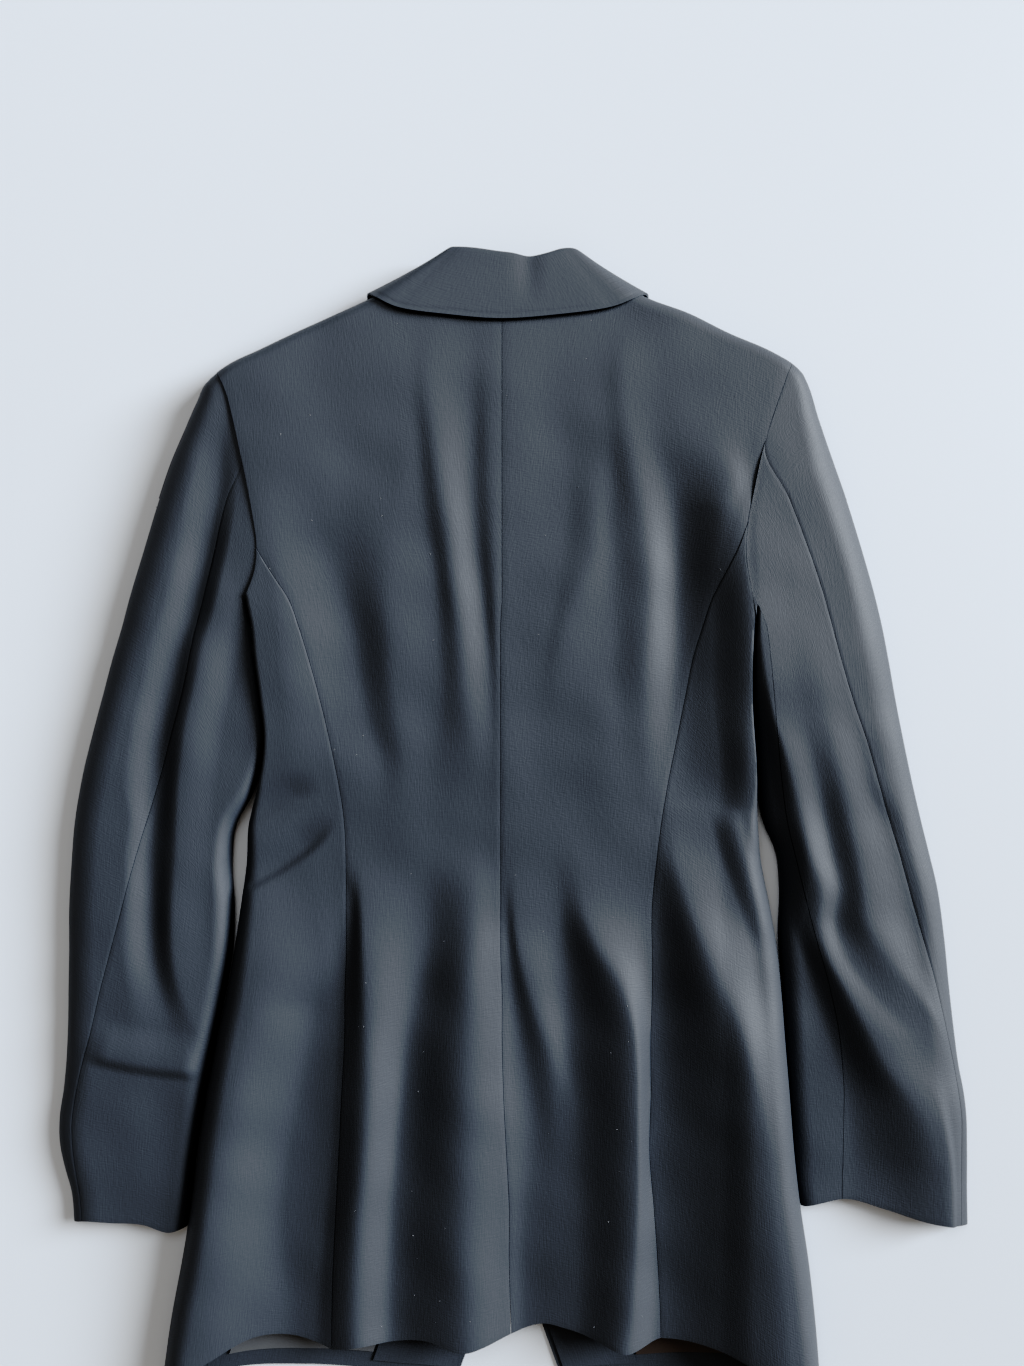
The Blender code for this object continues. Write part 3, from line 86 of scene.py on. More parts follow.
# Lines down the sleeves: y, outer fold, elbow seam, front seam, inner fold.
OUTER_FOLD, ELBOW_SEAM, FRONT_SEAM, INNER_FOLD = 1, 2, 3, 4
SLEEVE_LINES = {
    "left": (
        (321, -212, -206, -180, -188.5),
        (314, -220, -205, -180, -188.5),
        (301, -226.5, -203, -180, -188.5),
        (277, -237, -198, -180, -188.5),
        (262, -243.5, -192, -180, -188.5),
        (227, -255.5, -203, -180, -188.5),
        (194, -265.5, -210.5, -180, -188.5),
        (159, -276, -219, -195, -188.5),
        (140, -281, -224, -202, -185.6),
        (120, -287, -228, -206, -183.8),
        (90, -295, -234.5, -206.5, -180.5),
        (60, -303, -243, -205.5, -178),
        (40, -308, -249, -208, -180.5),
        (20, -312, -255, -213.5, -187.5),
        (0, -315, -261, -216, -199),
        (-25, -317, -268, -217, -202.5),
        (-60, -319, -277, -217.5, -201),
        (-90, -319, -285, -219, -202.2),
        (-120, -319.5, -293, -223.5, -207.2),
        (-150, -320, -300, -229, -213.2),
        (-175, -321.5, -307, -234, -217.9),
        (-190, -323, -310.5, -237, -220.8),
        (-210, -326, -313.5, -240.5, -224),
        (-228, -326, -313.5, -243.5, -227),
        (-248, -322, -311.5, -245.5, -229.6),
        (-262, -318, -309.5, -247, -231.2),
        (-292, -315.5, -307.5, -250, -235),
    ),
    "right": (
        (327, 196, 187, 160, 167.6),
        (320, 204, 186, 160, 167.6),
        (313, 208, 184, 160, 167.6),
        (288, 216.5, 178, 160, 167.6),
        (262, 225.5, 172, 160, 167.6),
        (229, 237, 189, 160, 167.6),
        (193, 248, 203, 160, 167.6),
        (163, 256.5, 213, 163.5, 167.6),
        (140, 262, 219.5, 173, 167.2),
        (120, 266, 225, 176, 166.6),
        (90, 271.5, 235, 179.5, 166.8),
        (60, 277.5, 246, 183, 169.5),
        (30, 284, 255.5, 187, 172.5),
        (0, 291, 265, 192, 178),
        (-20, 296, 271, 197, 186.5),
        (-45, 302, 278, 203, 189.5),
        (-80, 307, 288, 212, 188.8),
        (-115, 310.5, 298, 222, 191.3),
        (-150, 314.5, 306.5, 230, 193.7),
        (-175, 318, 312.5, 233, 195.5),
        (-190, 321, 315, 234, 196.7),
        (-205, 323, 317, 234, 197.8),
        (-235, 324, 317.5, 234, 200.3),
        (-262, 324, 317.5, 233.5, 203),
        (-292, 324.5, 317.5, 233.5, 208),
    ),
}
# Edges across the blazer: x, y.
SHOULDER = {
    "left": ((-92, 380), (-103, 374), (-132, 360.5), (-153, 351), (-182, 337), (-203, 327), (-212, 321)),
    "right": ((82, 380), (94, 374), (125, 362), (153, 348), (180, 336), (196, 327)),
}
NECK = {
    "left": ((-9, 364), (-40, 365.5), (-68, 369), (-84, 374.5), (-92, 380)),
    "right": ((-9, 364), (24, 365.5), (52, 368.5), (72, 374), (82, 380)),
}
BACK_HEM = {
    "left": ((-3, -360.5), (-22, -366), (-38, -369), (-60, -364), (-92, -367), (-110, -366), (-129, -370)),
    "right": ((-3, -360.5), (22, -353.5), (36, -356), (60, -362), (77, -367), (90, -366), (103, -363)),
}
CUFF = {
    "left": ((-314.5, -284.5), (-308, -283), (-285, -283.5), (-264, -284.5), (-245, -290), (-236.5, -288.5)),
    "right": ((324, -287), (317.5, -286), (292, -282), (262, -274), (234, -268), (219, -271), (207, -274)),
}
OUT = {"left": -1.0, "right": 1.0}
# Heights of the shoulder's tip, of the underarm, and of the top of the curved back seam in the armhole.
TIP = {side: ARMHOLE[side][0][0] for side in OUT}
UNDERARM = {side: ARMHOLE[side][-1][0] for side in OUT}
SEAM_TOP = {"left": 194.0, "right": 211.0}

# Height of the upper layer over the surface, without its folds: y, z.
CROWN_BODY = ((380, 23), (330, 25), (200, 25), (100, 23), (40, 20.5), (-30, 18.5), (-100, 19), (-200, 20),
              (-400, 19))

# Folds of the skirt: y, then x and height over the crown of each fold line from left to right.
SKIRT = (
    (18, ((-177, 0), (-150.4, 0), (-129.4, 0), (-107.7, 0), (-62.9, 0), (-31.4, 0), (-10.4, 0),
     (3.6, 0), (21.1, 0), (42.1, 0), (94.6, 0), (115.6, 0), (161.1, 0))),
    (-24, ((-177, 0.5), (-150.4, 0), (-125.9, -0.3), (-107.7, 0), (-62.9, -0.3), (-31.4, 0.5),
     (-10.4, -0.2), (1.5, 0), (26, -0.3), (45.6, 0.3), (95.3, -0.5), (113.5, 2.5), (159, 0))),
    (-52, ((-177, 2), (-143.4, 0), (-116.8, -1), (-107.7, 2), (-62.9, -1), (-31.4, 2), (-7.6, -0.7),
     (0.1, 0.3), (30.2, -1.2), (47.7, 0.9), (96, -2), (121.9, 5.3), (163.2, 0.2))),
    (-80, ((-179.8, 4), (-137.8, 0), (-117.5, -2), (-106.3, 4), (-62.9, -2), (-31.4, 4), (-4.8, -2),
     (1.5, 0), (33, -3), (56.8, 4.2), (97.4, -2.7), (131.7, 9.8), (169.5, 1.1))),
    (-108, ((-184, 5), (-135, -1.5), (-121, -2.5), (-104.9, 5.5), (-66.4, -3.5), (-32.8, 5.5),
     (-2.7, -3), (7.8, -0.5), (36.5, -4.5), (72.2, 7.1), (98.1, -2.6), (141.5, 12.8), (174.4, 3))),
    (-136, ((-188.2, 6), (-139.2, -3), (-123.8, -2.5), (-104.2, 6), (-72, -4.5), (-33.5, 6), (1.5, -4),
     (16.2, -1), (37.9, -5), (81.3, 8.5), (97.4, -2.9), (152.7, 14.9), (178.6, 6.5))),
    (-165, ((-193.8, 6.5), (-144.8, -4.5), (-125.9, -3), (-103.5, 6), (-76.2, -5.5), (-34.2, 6),
     (6.4, -5), (24.6, -2.2), (38.6, -4.5), (84.8, 9.5), (96.7, -2.7), (161.1, 16), (181.4, 10.6))),
    (-193, ((-200.1, 7), (-150.4, -5.5), (-128, -3.5), (-103.5, 6), (-78.3, -6), (-34.2, 6),
     (10.6, -5.5), (28.8, -3.2), (41.4, -3.5), (85.5, 9.5), (96, -2.2), (168.1, 16), (183.5, 13.6))),
    (-221, ((-206.4, 7), (-156, -6), (-129.4, -4), (-104.9, 5.5), (-81.1, -6), (-34.2, 6),
     (12.7, -5.5), (28.8, -3.8), (42.8, -2.8), (85.5, 9.5), (96, -2.2), (173, 16), (185.6, 14.6))),
    (-249, ((-211.3, 7), (-160.2, -6.5), (-131.5, -4.5), (-107, 5), (-83.2, -6), (-35.6, 6),
     (11.3, -5.5), (28.8, -4), (43.5, -2.2), (85.5, 9.5), (96.7, -2.2), (175.8, 16), (187.7, 15.1))),
    (-277, ((-216.2, 7), (-163, -6.5), (-135, -5), (-109.8, 4.5), (-85.3, -6), (-36.3, 6), (9.2, -5.5),
     (28.8, -4), (44.2, -2), (84.1, 9.5), (99.5, -2.2), (178.6, 16), (189.8, 15.1))),
    (-305, ((-220.4, 6.5), (-161.6, -6.5), (-137.8, -5), (-111.2, 4.5), (-86, -6), (-36.3, 6),
     (7.8, -5.5), (28.8, -4), (44.2, -2), (82.7, 9.5), (100.9, -2.7), (182.1, 15.5), (193.3, 14.6))),
    (-333, ((-225.3, 6), (-158.8, -6.5), (-140.6, -5.3), (-112.6, 4), (-86.7, -6), (-34.9, 5.5),
     (7.8, -5.5), (28.8, -4), (44.2, -2), (80.6, 9.5), (102.3, -3.2), (184.9, 15), (196.1, 14.1))),
    (-403, ((-230.2, 6), (-157.4, -6.5), (-140.6, -5.3), (-111.2, 4), (-87.4, -6), (-35.6, 5.5),
     (7.8, -5.5), (26, -4.3), (41.4, -2.5), (69.4, 9), (103, -3.7), (189.1, 14.5), (199.6, 13.6))),
)

# Drag lines of the upper back in the same way.
SHOULDERS = (
    (355, ((-185.4, 0), (-129.4, 0), (-87.4, 0), (-69.9, 0), (-58, 0), (-31.4, 0), (-18.1, 0),
     (10.6, 0), (49.1, 0), (66.6, 0.4), (79.2, 0.8), (98.1, 1.5), (129.6, 2.5), (161.1, 3))),
    (313, ((-185.4, 0), (-132.2, 0), (-86, 0), (-72, -0.1), (-60.8, 0.6), (-30.7, -0.6), (-18.1, 0.2),
     (28.8, -0.3), (55.4, 0.3), (63.8, 0.8), (75, 2), (94.6, 2), (136.6, 4), (166, 4.5))),
    (270, ((-185.4, 1), (-135, 0), (-81.8, -0.1), (-67.8, -0.4), (-56.6, 1.7), (-30, -1.8),
     (-17.4, 0.3), (32.3, -1), (58.2, 0.8), (65.9, 1.3), (79.9, 3.2), (97.4, 2.6), (140.8, 5.5),
     (166, 5))),
    (242, ((-182.6, 2), (-136.4, 0), (-81.8, 0.1), (-65.7, -0.6), (-53.1, 2.1), (-30, -2.1),
     (-16.7, 0.3), (35.1, -1.5), (57.5, 0.7), (66.6, 0.8), (83.4, 3.4), (108, 0.5), (150, 6.5),
     (164.6, 4.5))),
    (214, ((-175.6, 2.8), (-135, -1), (-87.4, 0.4), (-62.9, -0.7), (-48.9, 2.2), (-28.6, -2.7),
     (-15.3, 0.1), (35.1, -1.5), (55.4, 0.7), (66.6, 0), (88.3, 2.4), (114, -3.5), (147, 6.5), (161, 8))),
    (186, ((-170, 3), (-128, -3), (-88.1, 1), (-58, -0.8), (-45.4, 2.2), (-25.8, -2.8), (-14.6, 0),
     (31.6, -1.1), (52.6, 0.6), (69.4, -0.8), (92, 1.8), (115, -5), (141, 4), (163, 9.5))),
    (158, ((-168.6, 3.4), (-120.3, -4), (-88.1, 1.5), (-54.5, -0.8), (-41.9, 2.1), (-22.3, -2.7),
     (-13.5, -0.3), (26.7, -0.7), (41.4, 0.4), (68, -1.2), (92.5, 1.2), (115.5, -5.8), (138, 0.3),
     (165, 10.5))),
    (130, ((-166.5, 3.5), (-114, -4), (-86, 1.7), (-53.8, -0.8), (-38.4, 1.8), (-19.5, -2),
     (-12.5, -0.3), (21.8, -0.4), (33, 0.3), (69.4, -1.2), (91.1, 1.2), (115.5, -5.6), (138, 0.2),
     (165, 10.5))),
    (102, ((-164.4, 3.6), (-110.5, -3.8), (-85.3, 1.4), (-52.4, -0.8), (-36.3, 1.5), (-17.4, -1.1),
     (-11.1, -0.3), (17.6, -0.2), (28.8, 0.1), (66.6, -0.8), (89, 1), (114, -4.6), (138, 0), (165, 9.5))),
    (74, ((-163, 3.6), (-105.6, -3), (-81.8, 0.8), (-53.8, -0.7), (-33.5, 1.1), (-16, -0.6),
     (-10.4, -0.1), (17.6, 0), (28.8, 0), (70.8, -0.4), (89.7, 0.6), (113.5, -2.6), (140, 1), (164, 8.5))),
    (46, ((-163, 2.8), (-95.8, -1.4), (-77.6, 0.3), (-56.6, -0.3), (-31.4, 0.6), (-15.3, -0.1),
     (-9.7, 0), (17.6, 0), (28.8, 0), (70.8, 0), (89.7, 0.2), (113.5, -2), (143, 0.5), (164.6, 7.5))),
    (11, ((-163, 0), (-95.8, 0), (-77.6, 0), (-56.6, 0), (-31.4, 0), (-15.3, 0), (-9.7, 0), (17.6, 0),
     (28.8, 0), (70.8, 0), (89.7, 0), (112.8, -0.3), (143, 0), (164.6, 2.5))),
)

# The body's other folds: height (below nought for a trough), width to the left, width to the right, length that
# it rises over at its start and at its end (nought where it runs off), and its path as x, y.
BODY_FOLDS = (
    (-3.4, 22, 8, 34, 0, ((-128, 8), (-140, -8), (-164, -27), (-186, -40))),
    (-1.8, 18, 10, 24, 0, ((-136, 27), (-160, 21), (-186, 7))),
    (1.8, 13, 11, 20, 24, ((148, 16), (154, -10), (164, -38), (172, -62), (178, -90))),
)


def through(points, at):
    """Values between points on a smooth curve through them. Their first column rises or falls steadily."""
    points = np.asarray(points, float)
    if points[0, 0] > points[-1, 0]:
        points = points[::-1]
    x, y = points[:, 0], points[:, 1]
    step = np.diff(x)
    rise = np.diff(y) / step
    inner = (rise[:-1] * step[1:] + rise[1:] * step[:-1]) / (step[1:] + step[:-1])
    slope = np.concatenate([rise[:1], inner, rise[-1:]])
    at = np.clip(np.asarray(at, float), x[0], x[-1])
    i = np.clip(np.searchsorted(x, at) - 1, 0, len(step) - 1)
    t = (at - x[i]) / step[i]
    start = y[i] * (1 + 2 * t) * (1 - t) ** 2 + slope[i] * step[i] * t * (1 - t) ** 2
    return start + y[i + 1] * t * t * (3 - 2 * t) + slope[i + 1] * step[i] * t * t * (t - 1)


def line_of(rows, n):
    """One of the lines in a table, as y, x."""
    return np.array([(row[0], row[n]) for row in rows], float)


def drawn(points, count):
    """Points evenly along a smooth path."""
    points = np.asarray(points, float)
    length = np.concatenate([[0], np.cumsum(np.linalg.norm(np.diff(points, axis=0), axis=1))])
    at = np.linspace(0, length[-1], count)
    return np.stack([through(np.stack([length, points[:, k]], 1), at) for k in range(points.shape[1])], 1)


def to_path(points, path):
    """Distance to a path, the way from it, the share of its length there, the side and the path's way."""
    start, way = path[:-1], np.diff(path, axis=0)
    size = (way**2).sum(1)
    dx = points[:, None, 0] - start[None, :, 0]
    dy = points[:, None, 1] - start[None, :, 1]
    t = np.clip((dx * way[:, 0] + dy * way[:, 1]) / size, 0, 1)
    far = (dx - t * way[:, 0]) ** 2 + (dy - t * way[:, 1]) ** 2
    k = far.argmin(1)
    rows = np.arange(len(points))
    t = t[rows, k]
    gap = np.stack([dx[rows, k] - t * way[k, 0], dy[rows, k] - t * way[k, 1]], 1)
    turn = way[k, 0] * dy[rows, k] - way[k, 1] * dx[rows, k]
    length = np.concatenate([[0], np.cumsum(np.sqrt(size))])
    run = (length[k] + t * np.sqrt(size[k])) / length[-1]
    return np.sqrt(far[rows, k]), gap, run, -np.sign(turn), length[-1], way[k]


PATH_POINTS = 26


def folds_over(points, folds):
    """Height that the folds add."""
    total = np.zeros(len(points))
    for height, left, right, start, end, path in folds:
        path = drawn(path, PATH_POINTS)
        reach = max(left, right) + 1
        low, high = path.min(0) - reach, path.max(0) + reach
        near = np.flatnonzero(((points > low) & (points < high)).all(1))
        if len(near) == 0:
            continue
        far, _, run, side, length, way = to_path(points[near], path)
        width = np.where(side * np.sign(-way[:, 1]) > 0, left, right)
        share = np.clip(1 - (far / width) ** 2, 0, 1) ** 2
        fade = np.ones(len(near))
        if start:
            fade *= np.clip(run * length / start, 0, 1)
        if end:
            fade *= np.clip((1 - run) * length / end, 0, 1)
        total[near] += height * share * fade * fade * (3 - 2 * fade)
    return total


def fold_lines(points, table):
    """Height over the crown that these fold lines add, with a curve from each line to the next."""
    heights = [row[0] for row in table]
    y = points[:, 1]
    count = len(table[0][1])
    x = np.array([through(list(zip(heights, [row[1][n][0] for row in table])), y) for n in range(count)])
    h = np.array([through(list(zip(heights, [row[1][n][1] for row in table])), y) for n in range(count)])
    step = np.diff(x, axis=0)
    rise = np.diff(h, axis=0) / step
    same = rise[:-1] * rise[1:] > 0
    slope = np.zeros_like(h)
    slope[1:-1] = np.where(same, 2 * rise[:-1] * rise[1:] / np.where(same, rise[:-1] + rise[1:], 1), 0)
    here = np.clip((points[:, 0] > x).sum(0) - 1, 0, count - 2)
    n = np.arange(len(points))
    wide = step[here, n]
    t = np.clip((points[:, 0] - x[here, n]) / wide, 0, 1)
    start = h[here, n] * (1 + 2 * t) * (1 - t) ** 2 + slope[here, n] * wide * t * (1 - t) ** 2
    return start + h[here + 1, n] * t * t * (3 - 2 * t) + slope[here + 1, n] * wide * t * t * (t - 1)


SIDE_POINTS, SHOULDER_POINTS = 150, 60


def side_fold(rows, n, top, low, turns, inward, pieces):
    """A side fold: its path, the radius that it turns over, its height, the way in and its pieces."""
    y = np.linspace(top, low, SIDE_POINTS)
    points = np.stack([through(line_of(rows, n), y), y], 1)
    at, sizes, heights = zip(*sorted(turns))
    return points, np.interp(y, at, sizes), np.interp(y, at, heights), inward, pieces


# How the cloth turns under at the sides: y, the radius in plan that it turns over and the fold's height there.
# Below the armhole the body touches the sleeve, so its fold stands high there.
SHOULDER_TURN = 11.0
PAST_CUFF = 4  # how far the path of a sleeve's fold runs on
OUTER_TURN = ((321, 12, 4.2), (248, 25, 4.2), (-290, 22, 4.2))
BODY_TURN = {
    "left": ((159, 3, 21), (60, 2, 22), (30, 3, 18), (5, 6, 8), (-15, 9, 4.2), (-60, 13, 4.2), (-120, 17, 4.2),
             (-404, 19, 4.2)),
    "right": ((152, 1.5, 31), (130, 0.8, 31), (50, 0.8, 28), (30, 1.5, 20), (5, 7, 8), (-20, 12, 4.2),
              (-120, 17, 4.2), (-404, 19, 4.2)),
}
turned_sides = []
for side, out in OUT.items():
    ends = np.array(SHOULDER[side], float)
    x = np.linspace(ends[0, 0], ends[-1, 0], SHOULDER_POINTS)
    radii, heights = np.full(len(x), SHOULDER_TURN), np.full(len(x), FOLD_HEIGHT)
    both, cuff, hem = ("body", side), CUFF[side][0][1] - PAST_CUFF, BODY_LINES[-1][0]
    turned_sides += [
        (np.stack([x, through(ends, x)], 1), radii, heights, None, both),
        side_fold(SLEEVE_LINES[side], OUTER_FOLD, TIP[side], cuff, OUTER_TURN, -out, both),
        side_fold(BODY_LINES, SIDE_FOLD[side], UNDERARM[side], hem, BODY_TURN[side], -out, ("body",)),
    ]


def nearness(points, where):
    """How near each point is to a turned side: share of its radius, the radius, its height, the way in and
    the plain distance."""
    share = np.full(len(points), np.inf)
    height = np.full(len(points), FOLD_HEIGHT)
    radius = np.ones(len(points))
    inward = np.zeros((len(points), 2))
    plain = np.full(len(points), np.inf)
    beyond, on_path = 40, 0.05
    for path, radii, heights, way_in, pieces in turned_sides:
        low, high = path.min(0) - beyond, path.max(0) + beyond
        near = np.flatnonzero(((points > low) & (points < high)).all(1))
        if where not in pieces or len(near) == 0:
            continue
        far, gap, run, _, _, way = to_path(points[near], path)
        at = np.linspace(0, 1, len(radii))
        r = np.interp(run, at, radii)
        across = np.stack([-way[:, 1], way[:, 0]], 1)
        across /= np.linalg.norm(across, axis=1)[:, None]
        flip = across[:, 1] > 0 if way_in is None else across[:, 0] * way_in < 0
        across[flip] *= -1
        here = np.where((far < on_path)[:, None], across, gap / np.maximum(far, 1e-9)[:, None])
        better = far / r < share[near]
        share[near] = np.where(better, far / r, share[near])
        radius[near] = np.where(better, r, radius[near])
        height[near] = np.where(better, np.interp(run, at, heights), height[near])
        inward[near[better]] = here[better]
        plain[near] = np.minimum(plain[near], far)
    return share, radius, height, inward, plain


RIPPLES = 26
RIPPLE_LENGTHS = (26, 95)
RIPPLE_HEIGHT = 0.11
waves = np.random.default_rng(7)
ripple_way = waves.normal(size=(RIPPLES, 2))
ripple_way /= np.linalg.norm(ripple_way, axis=1)[:, None]
ripple_long = waves.uniform(*RIPPLE_LENGTHS, RIPPLES)
ripple_at = waves.uniform(0, 2 * np.pi, RIPPLES)


def ripples(points):
    """Slight unevenness that a worn, pressed cloth keeps, a few tenths of a millimetre."""
    total = np.zeros(len(points))
    for way, long, at in zip(ripple_way, ripple_long, ripple_at):
        total += long / RIPPLE_LENGTHS[1] * np.sin(2 * np.pi * (points @ way) / long + at)
    return RIPPLE_HEIGHT * total


folds_of = {"body": BODY_FOLDS}
lines_of = {"body": (SKIRT, SHOULDERS)}
crown_of = {"body": CROWN_BODY}


def lie(points, where):
    """Height of the upper layer's outside before it turns down at the sides."""
    rise = through(crown_of[where], points[:, 1]) + ripples(points) + folds_over(points, folds_of[where])
    for table in lines_of[where]:
        rise += fold_lines(points, table)
    return np.maximum(rise, LOWEST_TOP)


NARROWEST = 0.4  # gap between points that a slope is measured over
STEEPEST = 2.6  # most that a slope adds to the wall


def upper_cloth(grid, where, turned, dips):
    """The outside and the inside of the upper layer over a grid of plan points."""
    rows, columns = grid.shape[:2]
    points = grid.reshape(-1, 2)
    share, radius, fold, inward, _ = nearness(points, where)
    share = np.where(turned.reshape(-1), 0.0, np.clip(share, 0, 1))
    rise = lie(points, where) - dips.reshape(-1)
    surface = rise.reshape(rows, columns)
    width = np.linalg.norm(np.diff(grid, axis=1), axis=2)
    length = np.linalg.norm(np.diff(grid, axis=0), axis=2)
    across = np.zeros((rows, columns))
    across[:, 1:] = np.abs(np.diff(surface, axis=1)) / np.maximum(width, NARROWEST)
    across[:, :-1] = np.maximum(across[:, :-1], across[:, 1:])
    down = np.zeros((rows, columns))
    down[1:] = np.abs(np.diff(surface, axis=0)) / np.maximum(length, NARROWEST)
    slope = np.minimum(np.sqrt(1 + across**2 + down**2), STEEPEST).reshape(-1)
    rise = rise - fold
    cos = 1 - share
    sin = np.sqrt(1 - cos * cos)
    size = np.sqrt((rise * cos) ** 2 + (radius * sin) ** 2)
    z = fold + rise * sin
    inner = points + inward * (CLOTH * rise * cos / size)[:, None]
    inner_z = z - CLOTH * (radius * sin / size) * (1 + (slope - 1) * sin)
    shape = (rows, columns, 3)
    return np.column_stack([points, z]).reshape(shape), np.column_stack([inner, inner_z]).reshape(shape)


TOP_FADE, LOW_FADE, FADE_POWER = 0.3, 0.25, 1.5


def between(left, right, top, low, rows, spread):
    """A patch of plan points between four edges. The ends' shapes fade into the middle."""
    edge_l, edge_r = left(rows), right(rows)
    fade_top = np.clip(1 - rows / TOP_FADE, 0, 1) ** FADE_POWER
    fade_low = np.clip((rows - (1 - LOW_FADE)) / LOW_FADE, 0, 1) ** FADE_POWER
    out = np.empty((len(rows), spread.shape[1], 2))
    for i, u in enumerate(spread):
        straight = np.outer(1 - u, edge_l[i]) + np.outer(u, edge_r[i])
        chord_top = np.outer(1 - u, edge_l[0]) + np.outer(u, edge_r[0])
        chord_low = np.outer(1 - u, edge_l[-1]) + np.outer(u, edge_r[-1])
        out[i] = straight + fade_top[i] * (top(u) - chord_top) + fade_low[i] * (low(u) - chord_low)
    return out


def down_line(points, top, low, shift=0.0):
    """An edge that runs down the blazer, given by its share of the way."""
    def at(rows):
        y = top + (low - top) * rows
        return np.stack([through(points, y) + shift, y], 1)

    return at


def across_line(points, start, end):
    """An edge that runs across the blazer, given by its share of the way."""
    def at(u):
        x = start + (end - start) * u
        return np.stack([x, through(points, x)], 1)

    return at


def closer_at_ends(count):
    """Shares from 0 to 1 that lie closer together at both ends, where the cloth is sewn."""
    u = np.linspace(0, 1, count)
    closer = 0.3
    first, last = (1 - np.cos(np.pi / 2 * u) - u) * closer, (np.sin(np.pi / 2 * u) - u) * closer
    return u + (first + last)


# A pressed seam: depth and width of the dip, then the height, distance and width of the ridge beside it.
SEAM_DIP, SEAM_WIDTH = 0.24, 0.9
RIDGE, RIDGE_AT, RIDGE_WIDTH = 0.05, 4.2, 2.0


def sewn_dip(grid, first, last, ends):
    """How far the cloth dips into the seams at its first and last column, and over its turned hem."""
    across = np.linalg.norm(np.diff(grid, axis=1), axis=2)
    from_first = np.concatenate([np.zeros((len(grid), 1)), np.cumsum(across, 1)], 1)
    from_last = from_first[:, -1:] - from_first
    down = np.linalg.norm(np.diff(grid, axis=0), axis=2)
    from_top = np.concatenate([np.zeros((1, grid.shape[1])), np.cumsum(down, 0)], 0)
    from_low = from_top[-1:] - from_top
    dip = np.zeros(grid.shape[:2])
    for far, amount in ((from_first, first), (from_last, last), (from_top, ends[0]), (from_low, ends[1])):
        if amount:
            dip = np.maximum(dip, amount * SEAM_DIP * np.exp(-((far / SEAM_WIDTH) ** 2)))
            dip = dip - amount * RIDGE * np.exp(-(((far - RIDGE_AT) / RIDGE_WIDTH) ** 2))
    return dip


def cloth_shell(name, outer, inner, smooth_angle=0.9):
    """A closed shell of cloth from two grids of points, with a UV map in metres along the cloth."""
    rows, columns = outer.shape[:2]
    points = (np.concatenate([outer.reshape(-1, 3), inner.reshape(-1, 3)]) - MIDDLE) * MM
    half = rows * columns
    i, j = np.meshgrid(np.arange(rows - 1), np.arange(columns - 1), indexing="ij")
    a = (i * columns + j).reshape(-1)
    top = np.stack([a, a + 1, a + columns + 1, a + columns], 1)
    under = top[:, ::-1] + half
    ring = np.concatenate([
        np.arange(columns),
        np.arange(1, rows) * columns + columns - 1,
        (rows - 1) * columns + np.arange(columns - 2, -1, -1),
        np.arange(rows - 2, 0, -1) * columns,
    ])
    after = np.roll(ring, -1)
    rim = np.stack([after, ring, ring + half, after + half], 1)
    faces = np.concatenate([top, under, rim])
    quads = points[faces]
    normal = np.cross(quads[:, 1] - quads[:, 0], quads[:, 2] - quads[:, 0])
    normal += np.cross(quads[:, 2] - quads[:, 0], quads[:, 3] - quads[:, 0])
    if np.einsum("ij,ij->i", quads.mean(1), normal).sum() < 0:
        faces = faces[:, ::-1]
    across = np.linalg.norm(np.diff(outer, axis=1), axis=2)
    u = np.concatenate([np.zeros((rows, 1)), np.cumsum(across, 1)], 1) * MM
    u -= u[:, -1:] / 2
    down = np.linalg.norm(np.diff(outer[:, columns // 2], axis=0), axis=1)
    v = np.concatenate([[0], np.cumsum(down)]) * MM
    uv = np.stack([u, np.repeat(v[:, None], columns, 1)], 2).reshape(-1, 2)
    uv = np.concatenate([uv, uv])
    mesh = bpy.data.meshes.new(name)
    mesh.vertices.add(len(points))
    mesh.vertices.foreach_set("co", points.reshape(-1))
    mesh.loops.add(faces.size)
    mesh.loops.foreach_set("vertex_index", faces.reshape(-1).astype(np.int32))
    mesh.polygons.add(len(faces))
    mesh.polygons.foreach_set("loop_start", np.arange(0, faces.size, 4, dtype=np.int32))
    mesh.polygons.foreach_set("loop_total", np.full(len(faces), 4, np.int32))
    mesh.update(calc_edges=True)
    mesh.validate()
    layer = mesh.uv_layers.new(name="cloth")
    layer.data.foreach_set("uv", uv[faces.reshape(-1)].reshape(-1).astype(np.float32))
    mesh.polygons.foreach_set("use_smooth", np.ones(len(faces), bool))
    mesh.set_sharp_from_angle(angle=smooth_angle)
    obj = bpy.data.objects.new(name, mesh)
    bpy.context.scene.collection.objects.link(obj)
    return obj


# The cloths' surface: warp and weft threads as a height, slubs and slow clouding as masks. Satin's is finer.
WARP, WEFT = (1.0, 0.12, 1.0), (0.2, 1.0, 1.0)
weave = bpy.data.node_groups.new("worsted weave", "ShaderNodeTree")
weave.interface.new_socket("Pitch", in_out="INPUT", socket_type="NodeSocketFloat").default_value = 0.0007
for name in ("Height", "Fleck", "Cloud"):
    weave.interface.new_socket(name, in_out="OUTPUT", socket_type="NodeSocketFloat")
given = weave.nodes.new("NodeGroupInput")
made = weave.nodes.new("NodeGroupOutput")
cloth_uv = weave.nodes.new("ShaderNodeUVMap")
cloth_uv.uv_map = "cloth"
scale = weave.nodes.new("ShaderNodeMath")
scale.operation = "DIVIDE"
scale.inputs[0].default_value = 1.0
weave.links.new(given.outputs["Pitch"], scale.inputs[1])
threads = weave.nodes.new("ShaderNodeVectorMath")
threads.operation = "SCALE"
weave.links.new(cloth_uv.outputs["UV"], threads.inputs[0])
weave.links.new(scale.outputs[0], threads.inputs["Scale"])
height = weave.nodes.new("ShaderNodeMath")
height.operation = "ADD"
